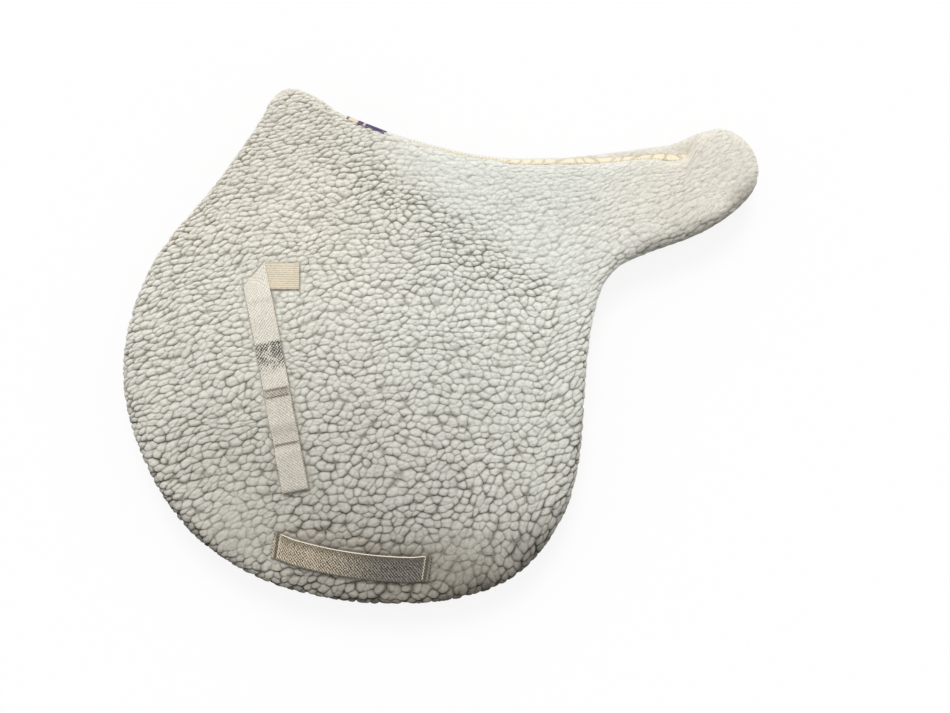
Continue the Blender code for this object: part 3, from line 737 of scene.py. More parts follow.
def swept(name, shape, path, material, waves=None):
    """A closed band: a section carried along a path of places, side and up directions.

    A corner lies at its station's middle, plus its place across along the station's
    side, plus its height along the station's up. Waves may raise it further by its run
    and its place across. Both ends are filled."""
    across, rise = shape
    middle, side, up = path
    rows, columns = len(middle), len(across)
    run = np.concatenate([[0], np.cumsum(np.linalg.norm(np.diff(middle, axis=0), axis=1))])
    lift = 0.0 if waves is None else waves(run[:, None], across[None, :])
    points = (
        middle[:, None, :] + side[:, None, :] * across[None, :, None]
        + up[:, None, :] * (rise[None, :] + lift)[:, :, None]
    )
    index = np.arange(rows * columns).reshape(rows, columns)
    after = np.roll(index, -1, axis=1)
    quads = np.stack([index[:-1], index[1:], after[1:], after[:-1]], 2).reshape(-1, 4)
    caps = [index[:1, :], index[-1:, ::-1]]
    attributes = {
        "run": np.repeat(run, columns),
        "across": np.tile(across, rows),
        "end": np.repeat(np.minimum(run, run[-1] - run), columns),
        "lift": (lift + np.zeros((rows, columns))).ravel() / MM,
    }
    thing = mesh_object(name, points.reshape(-1, 3), [quads, *caps], material, attributes)
    face_outwards(thing)
    return thing


def face_outwards(thing):
    """Turns every face of a closed piece to point out of it."""
    bm = bmesh.new()
    bm.from_mesh(thing.data)
    bmesh.ops.recalc_face_normals(bm, faces=bm.faces)
    bm.to_mesh(thing.data)
    bm.free()


def along_path(points):
    """The unit direction of travel at each point of a path."""
    step = np.gradient(points, axis=0)
    return step / np.linalg.norm(step, axis=1)[:, None]


def threads(name, starts, ends, radius, bow, out, material):
    """Stitches: each a bowed thread from a start to an end, as one piece.

    A stitch's middle line rises in half a sine, and its round section shrinks towards
    its ends, where it goes into the cloth."""
    steps, sides = 7, 6
    t = np.linspace(0, 1, steps)[None, :, None]
    line = starts[:, None, :] * (1 - t) + ends[:, None, :] * t
    line = line + out * bow * (np.sin(math.pi * t) - 0.35)
    along = (ends - starts) / np.linalg.norm(ends - starts, axis=1)[:, None]
    across = np.cross(along, np.broadcast_to(out, along.shape))
    width = radius * (0.35 + 0.65 * np.sqrt(np.sin(math.pi * t)))[..., None]
    angle = 2 * math.pi * np.arange(sides) / sides
    ring = (
        across[:, None, None, :] * np.cos(angle)[None, None, :, None]
        + np.broadcast_to(out, across.shape)[:, None, None, :] * np.sin(angle)[None, None, :, None]
    )
    points = (line[:, :, None, :] + ring * width).reshape(-1, 3)
    index = np.arange(len(points)).reshape(len(starts), steps, sides)
    after = np.roll(index, -1, axis=2)
    quads = np.stack([index[:, :-1], after[:, :-1], after[:, 1:], index[:, 1:]], 3).reshape(-1, 4)
    caps = np.concatenate([index[:, 0, ::-1], index[:, -1]])
    run = np.broadcast_to(t[..., 0, None], (len(starts), steps, sides)).reshape(-1)
    thing = mesh_object(name, points, [quads, caps], material, {"run": run})
    face_outwards(thing)
    return thing


def feed(tree, node, inputs):
    """A node with its inputs set to values or joined to sockets."""
    for key, value in inputs.items():
        if isinstance(value, bpy.types.NodeSocket):
            tree.links.new(value, node.inputs[key])
        else:
            node.inputs[key].default_value = value
    return node


def add(tree, kind, inputs=None, **settings):
    """A new node, with its settings and its inputs."""
    node = tree.nodes.new(kind)
    for key, value in settings.items():
        setattr(node, key, value)
    return feed(tree, node, inputs or {})


def calc(tree, operation, *values, clamp=False):
    """A Math node's result."""
    node = add(tree, "ShaderNodeMath", dict(enumerate(values)), operation=operation)
    node.use_clamp = clamp
    return node.outputs[0]


def mix(tree, share, first, second, blend="MIX"):
    """Two colours mixed by a share."""
    node = tree.nodes.new("ShaderNodeMix")
    node.data_type, node.blend_type = "RGBA", blend
    return feed(tree, node, {0: share, 6: first, 7: second}).outputs[2]


def darkened(tree, tinted, level):
    """A colour times a grey level."""
    grey = add(tree, "ShaderNodeCombineColor", {0: level, 1: level, 2: level}).outputs[0]
    return mix(tree, 1.0, tinted, grey, "MULTIPLY")


def roughen(tree, shader, height, distance, strength):
    """Joins a height to a shader's normal as a bump."""
    bump = add(tree, "ShaderNodeBump", {
        "Height": height, "Distance": distance, "Strength": strength,
    })
    tree.links.new(bump.outputs[0], shader.inputs["Normal"])


def new_group(name, inputs, outputs):
    """A node group with named inputs and outputs, and its two end nodes."""
    tree = bpy.data.node_groups.new(name, "ShaderNodeTree")
    for key, (kind, value) in inputs.items():
        socket = tree.interface.new_socket(key, in_out="INPUT", socket_type=kind)
        if value is not None:
            socket.default_value = value
    for key, kind in outputs.items():
        tree.interface.new_socket(key, in_out="OUTPUT", socket_type=kind)
    return tree, tree.nodes.new("NodeGroupInput"), tree.nodes.new("NodeGroupOutput")


def fibre_group():
    """Fine wool or yarn: tangled noise at two sizes, as a height and as a shade.

    The places are first pushed about by a coarse noise, which turns its spots into
    short curved hairs."""
    tree, source, result = new_group(
        "Fine fibre",
        {"Vector": ("NodeSocketVector", None), "Size": ("NodeSocketFloat", 1.0 * MM),
         "Tangle": ("NodeSocketFloat", 1.5)},
        {"Height": "NodeSocketFloat", "Shade": "NodeSocketFloat"},
    )
    scale = calc(tree, "DIVIDE", 1.0, source.outputs["Size"])
    hairs = add(tree, "ShaderNodeTexNoise", {
        "Vector": source.outputs["Vector"], "Scale": scale, "Detail": 3.0, "Roughness": 0.6,
        "Distortion": source.outputs["Tangle"],
    })
    tufts = add(tree, "ShaderNodeTexNoise", {
        "Vector": source.outputs["Vector"], "Scale": calc(tree, "MULTIPLY", scale, 0.3),
        "Detail": 2.0, "Roughness": 0.5, "Distortion": 0.6,
    })
    height = calc(tree, "MULTIPLY_ADD", tufts.outputs[0], 1.6, hairs.outputs[0])
    tree.links.new(height, result.inputs["Height"])
    shade = calc(tree, "SUBTRACT", hairs.outputs[0], 0.5)
    tree.links.new(shade, result.inputs["Shade"])
    return tree


def soil_group():
    """Wear and dirt: large soft patches of noise between two levels, from 0 to 1."""
    tree, source, result = new_group(
        "Soiling",
        {"Vector": ("NodeSocketVector", None), "Size": ("NodeSocketFloat", 60 * MM),
         "Low": ("NodeSocketFloat", 0.4), "High": ("NodeSocketFloat", 0.7)},
        {"Mask": "NodeSocketFloat"},
    )
    scale = calc(tree, "DIVIDE", 1.0, source.outputs["Size"])
    patches = add(tree, "ShaderNodeTexNoise", {
        "Vector": source.outputs["Vector"], "Scale": scale, "Detail": 4.0, "Roughness": 0.62,
    })
    spread = add(tree, "ShaderNodeMapRange", {
        "Value": patches.outputs[0], "From Min": source.outputs["Low"],
        "From Max": source.outputs["High"],
    }, interpolation_type="SMOOTHSTEP")
    tree.links.new(spread.outputs[0], result.inputs["Mask"])
    return tree


def weave_group():
    """Woven cloth from two lengths on it: lengthwise ribs, or a twill of two diagonals.

    The ribs are a cosine across the cloth. A diagonal is a cosine of both lengths
    together, and the two lean opposite ways, one stronger than the other."""
    tree, source, result = new_group(
        "Twill weave",
        {"Run": ("NodeSocketFloat", 0.0), "Across": ("NodeSocketFloat", 0.0),
         "Rib": ("NodeSocketFloat", 1.2 * MM), "Pick": ("NodeSocketFloat", 0.9 * MM),
         "Lean": ("NodeSocketFloat", 1.0), "Ribbed": ("NodeSocketFloat", 0.0)},
        {"Height": "NodeSocketFloat"},
    )
    turn_across = calc(tree, "DIVIDE", source.outputs["Across"], source.outputs["Rib"])
    turn_run = calc(tree, "DIVIDE", source.outputs["Run"], source.outputs["Pick"])
    lean = calc(tree, "MULTIPLY", turn_across, source.outputs["Lean"])
    turns = (turn_across, calc(tree, "ADD", turn_run, lean), calc(tree, "SUBTRACT", turn_run, lean))
    rib, strong, weak = (calc(tree, "COSINE", calc(tree, "MULTIPLY", turned, 2 * math.pi))
                         for turned in turns)
    twill = calc(tree, "MULTIPLY_ADD", weak, 0.5, strong)
    twill = calc(tree, "MULTIPLY", twill, calc(tree, "SUBTRACT", 1.0, source.outputs["Ribbed"]))
    whole = calc(tree, "MULTIPLY_ADD", rib, calc(tree, "MULTIPLY", source.outputs["Ribbed"], 1.3),
                 twill)
    tree.links.new(calc(tree, "MULTIPLY_ADD", whole, 0.33, 0.5), result.inputs["Height"])
    return tree


def place_group(tree, name, maker, inputs):
    """A group in a material with its own values. It is made when first asked for."""
    node = tree.nodes.new("ShaderNodeGroup")
    node.node_tree = bpy.data.node_groups.get(name) or maker()
    return feed(tree, node, inputs)


def fibres(tree, place, size):
    """The fine fibre group in a material, at a size."""
    return place_group(tree, "Fine fibre", fibre_group, {"Vector": place, "Size": size})


def patches_of(tree, place, **inputs):
    """The soiling group's mask in a material."""
    group = place_group(tree, "Soiling", soil_group, {"Vector": place, **inputs})
    return group.outputs["Mask"]


def weave_of(tree, run, across, **inputs):
    """The weave group's height in a material."""
    group = place_group(tree, "Twill weave", weave_group,
                        {"Run": run, "Across": across, **inputs})
    return group.outputs["Height"]


def start_material(name, roughness, sheen=0.0):
    """A material with its shader, its tree and the object's coordinates."""
    material = bpy.data.materials.new(name)
    material.use_nodes = True
    tree = material.node_tree
    shader = tree.nodes["Principled BSDF"]
    shader.inputs["Roughness"].default_value = roughness
    shader.inputs["Specular IOR Level"].default_value = 0.2
    shader.inputs["Sheen Weight"].default_value = sheen
    shader.inputs["Sheen Roughness"].default_value = 0.5
    coordinates = tree.nodes.new("ShaderNodeTexCoord").outputs["Object"]
    return material, tree, shader, coordinates


def attribute(tree, name):
    """A piece's own attribute as a value."""
    return add(tree, "ShaderNodeAttribute", attribute_name=name).outputs["Fac"]


def ramp(tree, value, low, high, start=0.0, end=1.0, kind="SMOOTHSTEP"):
    """A value eased from a low and a high mark to a start and an end."""
    node = add(tree, "ShaderNodeMapRange", {
        0: value, 1: low, 2: high, 3: start, 4: end,
    }, interpolation_type=kind)
    return node.outputs[0]


def colour(values):
    """A colour of a property as a shader's four numbers."""
    return (*values, 1.0)


def fleece_material(pads):
    """Wool pile: pale tips, painted brown shade in its crevices, its pits and under the straps,
    yellowed, soiled and darkened by painted falloff towards the hem, and painted shade round
    the rim.

    Its own attributes say where, and noise breaks each of them up."""
    material, tree, shader, place = start_material("wool_pile", 0.95, 0.08)
    fibre = fibres(tree, place, 1.1 * MM)
    patches = patches_of(tree, place, Size=45 * MM)
    tips = mix(tree, attribute(tree, "warmth"), colour(pads.tip_colour),
               colour(pads.warm_colour))
    # The soil attribute holds painted shade falling off towards the hem as well as soil.
    soil = calc(tree, "MULTIPLY_ADD", patches, 0.10, attribute(tree, "soil"))
    mottled = calc(tree, "MULTIPLY", fibre.outputs["Shade"], soil)
    mottled = calc(tree, "MULTIPLY_ADD", mottled, 1.9, soil)
    share = calc(tree, "MINIMUM", calc(tree, "MULTIPLY", mottled, 0.60), 0.92)
    tips = mix(tree, share, tips, colour(pads.soil_and_shade_colour))
    # Painted shade between the curls and under the straps, deeper in soiled pile.
    dark = mix(tree, calc(tree, "MINIMUM", soil, 1.0), colour(pads.crevice_shade_colour),
               colour(pads.deep_shade_colour))
    tinted = mix(tree, calc(tree, "MULTIPLY", attribute(tree, "crevice"), 0.85, clamp=True),
                 tips, dark)
    # Painted shade round the rim.
    rim = calc(tree, "MULTIPLY", attribute(tree, "rim"), 0.93, clamp=True)
    tinted = mix(tree, rim, tinted, colour(pads.rim_shade_colour))
    own = calc(tree, "MULTIPLY_ADD", attribute(tree, "own"), 0.06, 0.96)
    speckle = calc(tree, "MULTIPLY_ADD", fibre.outputs["Shade"], 0.55, own)
    # Painted shade in the hollows of the small lumps.
    shade = calc(tree, "MULTIPLY_ADD", attribute(tree, "shade"), -0.35, speckle)
    tree.links.new(darkened(tree, tinted, shade), shader.inputs["Base Color"])
    roughen(tree, shader, fibre.outputs["Height"], 0.7 * MM, 0.8)
    return material


def measure_along(tree, place, origin, direction):
    """How far a place lies along a plan direction from a plan origin."""
    away = add(tree, "ShaderNodeVectorMath", {0: place, 1: (*origin, 0)}, operation="SUBTRACT")
    dot = add(tree, "ShaderNodeVectorMath", {0: away.outputs[0], 1: (*direction, 0)},
              operation="DOT_PRODUCT")
    return dot.outputs["Value"]


def webbing_finish(name, straps, clean, ribbed, depth, soil, smudge):
    """Cotton webbing: its weave by its own lengths, soiled by two masks.

    The masks come from functions of the tree and the object's coordinates. Painted shade
    darkens the gaps between the threads; soil tints the cloth and deepens those gaps. A
    smudge lies between the threads only. A painted highlight lightens both edges."""
    material, tree, shader, place = start_material(name, 0.85, 0.1)
    across = attribute(tree, "across")
    uneven = add(tree, "ShaderNodeTexNoise", {
        "Vector": place, "Scale": 1 / (2.6 * MM), "Detail": 1.0, "Roughness": 0.5,
    })
    split = add(tree, "ShaderNodeSeparateColor", {0: uneven.outputs["Color"]})
    lengths = [calc(tree, "MULTIPLY_ADD", split.outputs[k], straps.unevenness, value)
               for k, value in ((0, attribute(tree, "run")), (1, across))]
    if ribbed:
        lengths[1] = across
    weave = weave_of(tree, *lengths, Rib=straps.rib if ribbed else straps.pick,
                     Pick=straps.pick, Lean=1.0, Ribbed=ribbed)
    patches = patches_of(tree, place, Size=22 * MM, Low=0.40, High=0.66)
    blots = patches_of(tree, place, Size=8 * MM, Low=0.44, High=0.60)
    fibre = fibres(tree, place, 1.3 * MM)
    dirt = calc(tree, "MULTIPLY_ADD", patches, 0.06, soil(tree, place), clamp=True)
    marks = calc(tree, "MULTIPLY", smudge(tree, place), calc(
        tree, "MULTIPLY_ADD", blots, 0.85, 0.25))
    tinted = mix(tree, dirt, colour(clean), colour(straps.soiled_colour))
    # Painted shade in the gaps between the threads, deepened by soil and smudges.
    gaps = calc(tree, "SUBTRACT", 1.0, weave)
    frayed = calc(tree, "MULTIPLY_ADD", fibre.outputs["Shade"], 4.5, 1.0)
    gaps = calc(tree, "MULTIPLY", gaps, frayed, clamp=True)
    depth = calc(tree, "MULTIPLY_ADD", dirt, straps.soiled_contrast, depth)
    depth = calc(tree, "MULTIPLY_ADD", marks, 1.5, depth)
    level = calc(tree, "MULTIPLY", calc(tree, "MULTIPLY", gaps, depth), -1.0)
    level = calc(tree, "ADD", level, 1.0)
    level = calc(tree, "MAXIMUM", level, 0.10)
    # A painted highlight along both edges.
    edge = ramp(tree, calc(tree, "ABSOLUTE", across), 11.2 * MM, 12.2 * MM)
    tinted = mix(tree, calc(tree, "MULTIPLY", edge, 0.35), tinted, colour(straps.edge_highlight_colour))
    tinted = darkened(tree, tinted, level)
    height = calc(tree, "MULTIPLY_ADD", fibre.outputs["Height"], 0.25, weave)
    roughen(tree, shader, height, 0.35 * MM, 0.9)
    return material, tree, shader, tinted


def tab_material(straps, name, clean, ribbed):
    """The tab's webbing: clean above, a dark smudge half way down, greyed below it, and
    painted light and shade on its upper loop.
    """

    def down(tree, place):
        """How far down the tab a place lies."""
        return measure_along(tree, place, TAB_MIDDLE, TAB_RUN)

    def soil(tree, place):
        """The sum of eased steps down the tab: soil, and painted light and shade on the
        upper loop.
        """
        total = 0.0
        for start, stop, share in TAB_SOIL_AND_LOOP_SHADE:
            step = ramp(tree, down(tree, place), start * MM, stop * MM, 0.0, share)
            total = calc(tree, "ADD", total, step)
        return total

    def smudge(tree, place):
        """A patch that starts sharply and fades out downwards, and a faint one on the hem."""
        start = ramp(tree, down(tree, place), 64 * MM, 69 * MM)
        stop = ramp(tree, down(tree, place), 100 * MM, 78 * MM)
        off_hem = calc(tree, "ABSOLUTE", calc(
            tree, "SUBTRACT", down(tree, place), TAB_UPPER_ROW + MM))
        hem = ramp(tree, off_hem, 6 * MM, 4.4 * MM, 0.0, 0.12)
        return calc(tree, "MULTIPLY_ADD", start, stop, hem)

    material, tree, shader, tinted = webbing_finish(
        name, straps, clean, ribbed, straps.contrast, soil, smudge)
    tree.links.new(tinted, shader.inputs["Base Color"])
    return material


def girth_material(straps):
    """The girth strap's webbing: soiled towards the rear, with a painted highlight along its
    upper edge and on the ridge by each end.

    Painted shade darkens the cloth under that edge, along the lower edge and in the groove by
    each end."""

    def soil(tree, place):
        """More and more towards the rear."""
        rearwards = measure_along(tree, place, GIRTH_CENTRE, GIRTH_RUN)
        return ramp(tree, rearwards, -45 * MM, 40 * MM, 0.14, 1.0)

    def smudge(tree, place):
        """Faint blots towards the front."""
        rearwards = measure_along(tree, place, GIRTH_CENTRE, GIRTH_RUN)
        return ramp(tree, rearwards, 60 * MM, -60 * MM, 0.0, 0.12)

    material, tree, shader, tinted = webbing_finish(
        "girth_webbing", straps, straps.girth_colour, 0.0, 1.00, soil, smudge)
    across, end = attribute(tree, "across"), attribute(tree, "end")
    # Painted shade under the upper edge, along the lower edge and in the groove by each end.
    shade = calc(tree, "MULTIPLY", ramp(tree, across, 3.0 * MM, 10.6 * MM), 0.50)
    low = ramp(tree, across, -11.0 * MM, -12.2 * MM, 0.0, 0.8)
    off_groove = calc(tree, "ABSOLUTE", calc(tree, "SUBTRACT", end, GIRTH_GROOVE))
    fold = ramp(tree, off_groove, 1.9 * MM, 0.8 * MM, 0.0, 0.85)
    dark = calc(tree, "MAXIMUM", calc(tree, "MAXIMUM", shade, low), fold)
    tinted = mix(tree, dark, tinted, colour(straps.deep_shade_colour))
    # A painted highlight on the ridge by each end and along the upper edge.
    off_ridge = calc(tree, "ABSOLUTE", calc(tree, "SUBTRACT", end, GIRTH_RIDGE))
    ridge = ramp(tree, off_ridge, 1.2 * MM, 0.6 * MM, 0.0, 0.08)
    edge = calc(tree, "MULTIPLY", ramp(tree, across, 11.6 * MM, 12.0 * MM), ramp(
        tree, end, 5.0 * MM, 8.0 * MM))
    pale = calc(tree, "MAXIMUM", ridge, edge)
    tinted = mix(tree, pale, tinted, colour(straps.edge_highlight_colour))
    tree.links.new(tinted, shader.inputs["Base Color"])
    return material


def thread_material(name, values, twist):
    """Sewing thread: a fine twist along its length and a soft gloss."""
    material, tree, shader, place = start_material(name, 0.55, 0.1)
    fibre = fibres(tree, place, twist)
    level = calc(tree, "MULTIPLY_ADD", fibre.outputs["Shade"], 0.5, 1.0)
    tree.links.new(darkened(tree, colour(values), level), shader.inputs["Base Color"])
    roughen(tree, shader, fibre.outputs["Height"], 0.1 * MM, 0.6)
    return material


def tape_material(trim):
    """Satin binding tape: a soft gloss, fine cross ribs and shade between its gathers."""
    material, tree, shader, place = start_material("satin_tape", 0.45, 0.2)
    run, across = attribute(tree, "run"), attribute(tree, "across")
    weave = weave_of(tree, run, across, Rib=4.0 * MM, Pick=2.1 * MM, Lean=1.0)
    fibre = fibres(tree, place, 0.8 * MM)
    # Painted shade in the grooves between the gathers.
    folds = ramp(tree, attribute(tree, "lift"), -0.15, -0.75, 0.0, 0.75)
    tinted = mix(tree, folds, colour(trim.tape_colour), colour(trim.fold_shade_colour))
    # The cross ribs are painted light and shade as well.
    level = calc(tree, "MULTIPLY_ADD", weave, 0.36, 0.72)
    level = calc(tree, "MULTIPLY_ADD", fibre.outputs["Shade"], 0.25, level)
    tree.links.new(darkened(tree, tinted, level), shader.inputs["Base Color"])
    roughen(tree, shader, weave, 0.3 * MM, 0.8)
    return material


def label_material(trim):
    """A woven label: plain bands of colour in fine damask threads.

    Each band ends at a place across the label, measured from its middle."""
    material, tree, shader, _ = start_material("woven_label", 0.5, 0.1)
    across, run = attribute(tree, "across"), attribute(tree, "run")
    weave = weave_of(tree, run, across, Rib=0.5 * MM, Pick=0.45 * MM, Lean=0.5)
    bands = colour(trim.band_colour)
    off_middle = calc(tree, "ABSOLUTE", calc(tree, "ADD", across, 1.6 * MM))
    pale = mix(tree, ramp(tree, off_middle, 1.3 * MM, 1.0 * MM), bands, colour(trim.pale_colour))
    warm = mix(tree, ramp(tree, across, -8.0 * MM, -8.6 * MM), pale, colour(trim.warm_colour))
    whole = mix(tree, ramp(tree, across, -17.6 * MM, -18.0 * MM), warm, bands)
    level = calc(tree, "MULTIPLY_ADD", weave, 0.25, 0.84)
    tree.links.new(darkened(tree, whole, level), shader.inputs["Base Color"])
    roughen(tree, shader, weave, 0.12 * MM, 0.7)
    return material


def floor_of(side_name):
    """The height of the pile's floor under a side's straps."""
    return PANEL_TOP - SINKS[side_name]


def on_side(side_name, plan, height):
    """Places from plan positions and heights above the fold's middle plane."""
    z = MIDDLE + SIDES[side_name] * height
    return np.concatenate([plan, np.broadcast_to(z, plan.shape[:-1])[..., None]], -1)


def tab_path(side_name):
    """The hanging leg's middle line: its run down the tab and its height.

    It rolls half round the crease, drops to the pile, turns up in half a circle at its
    end, and comes back over itself as two loops between the stitches."""
    turns = np.linspace(-math.pi / 2, math.pi / 2, 9)
    roll = np.stack([-0.8 * MM * np.cos(turns), 1.75 * MM + 0.8 * MM * np.sin(turns)], 1)
    end_radius = 2.95 * MM
    end_run = TAB_LENGTH - 3.6 * MM
    back_run = np.arange(1.5 * MM, end_run, 1.2 * MM)
    drop = smooth((back_run - SLANT_RUN) / (7 * MM))
    back = np.stack([back_run, DOUBLE_LIFT + (STRAP_LIFT - DOUBLE_LIFT) * drop], 1)
    turns = np.linspace(-math.pi / 2, math.pi / 2, 15)
    bend = np.stack([end_run + end_radius * np.cos(turns),
                     STRAP_LIFT + end_radius + end_radius * np.sin(turns)], 1)
    front_run = np.arange(end_run - 1.2 * MM, TAB_STRIP_END, -1.2 * MM)
    lower = smooth((front_run - TAB_LOWER_ROW - 3 * MM) / (7 * MM))
    upper = smooth(np.minimum(front_run - TAB_UPPER_ROW - 6 * MM,
                              TAB_LOWER_ROW - 8 * MM - front_run) / (15 * MM))
    loops = np.maximum(lower, upper)
    front = np.stack([front_run, DOUBLE_LIFT + (LOOP_LIFT - DOUBLE_LIFT) * loops], 1)
    line = np.concatenate([roll, back, bend, front])
    line[:, 1] += floor_of(side_name)
    return line


def ride_with_slot(piece, body, slot, *nodes):
    """Makes a piece ride on a body and stand for nodes; its slot is not used."""
    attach(piece, body)
    if nodes:
        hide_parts(*nodes)


def tab_strap(side_name, material):
    """The hanging leg of the tab, swept along its path with its crease cut aslant."""
    line = tab_path(side_name)
    side = SIDES[side_name]
    across = np.array([-TAB_RUN[1], TAB_RUN[0]])
    slant = (CREASE @ TAB_RUN) / (CREASE @ across)
    near_crease = np.arange(len(line)) < SLANT_STATIONS
    share = (1 - smooth(line[:, 0] / SLANT_RUN)) * near_crease
    middle = on_side(side_name, TAB_MIDDLE + TAB_RUN * line[:, :1], line[:, 1])
    sides = np.array([*across, 0]) + np.array([*TAB_RUN, 0]) * slant * share[:, None]
    step = along_path(line)
    ups = np.array([*TAB_RUN, 0]) * -step[:, 1:] + np.array([0, 0, side]) * step[:, :1]
    shape = section(WEBBING_WIDTH / 2, WEBBING_THICKNESS / 2, 60)
    piece = swept(f"{side_name}_tab_webbing", shape, (middle, sides, ups), material)
    ride_with_slot(piece, f"{side_name}_tab", "webbing", f"{side_name}_tab_strap")


def tab_root(side_name, material):
    """The sewn leg of the tab, from its stitches to the crease."""
    beyond = (TAB_CORNER - TAB_MIDDLE) @ TAB_ROOT_RUN
    run = np.linspace(-TAB_ROOT_LENGTH - beyond, 0, 60)
    side = SIDES[side_name]
    away = -TAB_ROOT_RUN
    across = np.array([-away[1], away[0]])
    slant = (CREASE @ away) / (CREASE @ across)
    share = smooth((run + ROOT_SLANT_RUN) / ROOT_SLANT_RUN)
    height = np.full(len(run), floor_of(side_name) + STRAP_LIFT)
    middle = on_side(side_name, TAB_MIDDLE + away * run[:, None], height)
    sides = np.array([*across, 0]) + np.array([*away, 0]) * slant * share[:, None]
    ups = np.tile([0.0, 0.0, side], (len(run), 1))
    shape = section(WEBBING_WIDTH / 2, WEBBING_THICKNESS / 2, 60, 10, 0.2 * MM)
    piece = swept(f"{side_name}_tab_leg", shape, (middle, sides, ups), material)
    ride_with_slot(piece, f"{side_name}_side", "webbing", f"{side_name}_tab_root")


def girth_strap(side_name, straps, material):
    """The girth strap: flat at its sewn ends, bowed and sagging between them."""
    half = GIRTH_LENGTH / 2 + GIRTH_HEM
    side = SIDES[side_name]
    run = np.linspace(-half, half, 260)
    across = np.array([-GIRTH_RUN[1], GIRTH_RUN[0]])
    sag = GIRTH_SAG * (1 - (run / half) ** 2)
    raised = smooth((half - np.abs(run) - 8 * MM) / (14 * MM))
    height = floor_of(side_name) + STRAP_LIFT + 4.8 * MM * raised
    plan = GIRTH_CENTRE + GIRTH_RUN * run[:, None] - across * sag[:, None]
    middle = on_side(side_name, plan, height)
    step = along_path(middle)
    sides = np.tile([*across, 0.0], (len(run), 1))
    ups = np.cross(step, sides) * side
    tilt = (straps.girth_tilt * raised)[:, None]
    sides, ups = sides + ups * tilt, ups - sides * tilt

    def hems(run, across):
        """A folded ridge across each end, a groove inside it and a rolled upper edge."""
        end = np.minimum(run, run.max() - run)
        ridge = np.exp(-(((end - GIRTH_RIDGE) / (1.0 * MM)) ** 2))
        groove = np.exp(-(((end - GIRTH_GROOVE) / (0.9 * MM)) ** 2))
        rolled = smooth((across - 11.2 * MM) / (0.8 * MM)) * smooth((end - 5 * MM) / (6 * MM))
        return (0.7 * ridge - 0.3 * groove + 0.5 * rolled) * MM

    shape = section(WEBBING_WIDTH / 2, WEBBING_THICKNESS / 2, 60)
    piece = swept(f"{side_name}_girth_webbing", shape, (middle, sides, ups), material, hems)
    ride_with_slot(piece, f"{side_name}_side", "webbing", f"{side_name}_girth_strap")


def strap_stitches(side_name, clean, soiled):
    """The zigzag rows that hold the straps, each in its own piece.

    A row runs across its strap, and its stitches swing to either side of it in turn. The
    tab's upper hem has two such rows, above and below its own line."""
    across = np.array([-TAB_RUN[1], TAB_RUN[0]])
    root_across = np.array([TAB_ROOT_RUN[1], -TAB_ROOT_RUN[0]])
    girth_across = np.array([-GIRTH_RUN[1], GIRTH_RUN[0]])
    girth_reach = GIRTH_LENGTH / 2 - STITCH_INSET
    girth_sag = GIRTH_SAG * (1 - (2 * girth_reach / GIRTH_LENGTH) ** 2)
    root_end = TAB_CORNER + TAB_ROOT_RUN * (TAB_ROOT_LENGTH - STITCH_INSET)
    single, double = STRAP_LIFT + THREAD_LIFT, DOUBLE_LIFT + THREAD_LIFT
    rows = {
        "tab_root_stitch": (root_end + root_across * WEBBING_WIDTH / 2, root_across, single,
                            "side"),
        "tab_upper_stitch": (TAB_MIDDLE + TAB_RUN * TAB_UPPER_ROW, across, double, "tab"),
        "tab_lower_stitch": (TAB_MIDDLE + TAB_RUN * TAB_LOWER_ROW, across, double, "tab"),
        "girth_front_stitch": (GIRTH_CENTRE - GIRTH_RUN * girth_reach
                               - girth_across * girth_sag, girth_across, single, "side"),
        "girth_rear_stitch": (GIRTH_CENTRE + GIRTH_RUN * girth_reach
                              - girth_across * girth_sag, girth_across, single, "side"),
    }
    count = np.arange(ROW_STITCHES + 1)
    along = (count / ROW_STITCHES - 0.5)[:, None] * (WEBBING_WIDTH - ROW_MARGIN)
    swing = np.where(count % 2, ROW_SWING, -ROW_SWING)[:, None]
    out = np.array([0.0, 0.0, SIDES[side_name]])
    for key, (centre, direction, height, carrier) in rows.items():
        starts, ends = [], []
        for shift in HEM_ROWS if key == "tab_upper_stitch" else (0.0,):
            turned = np.array([direction[1], -direction[0]]) * (swing + shift) * MM
            spots = on_side(side_name, centre + direction * along + turned,
                            np.full(len(count), floor_of(side_name) + height))
            starts.append(spots[:-1])
            ends.append(spots[1:])
        piece = threads(f"{side_name}_{key}es", np.concatenate(starts), np.concatenate(ends),
                        STITCH_RADIUS, STITCH_BOW, out, soiled if carrier == "tab" else clean)
        ride_with_slot(piece, f"{side_name}_{carrier}", "thread", f"{side_name}_{key}")


def spine_places(low, high, count):
    """Places evenly along the outline's top between two marks, and the way out there."""
    ring = outline_ring()
    top = ring[(ring[:, 1] > SPINE_FLOOR) & (ring[:, 0] > SPINE_ENDS[0])
               & (ring[:, 0] < SPINE_ENDS[1])]
    top = top[np.argsort(top[:, 0])]
    x = np.linspace(low, high, 400)
    y = np.interp(x, top[:, 0], top[:, 1])
    run = np.concatenate([[0], np.cumsum(np.hypot(np.diff(x), np.diff(y)))])
    goal = np.linspace(0, run[-1], count)
    plan = np.stack([np.interp(goal, run, x), np.interp(goal, run, y)], 1)
    step = along_path(plan)
    return plan, np.stack([-step[:, 1], step[:, 0]], 1), goal


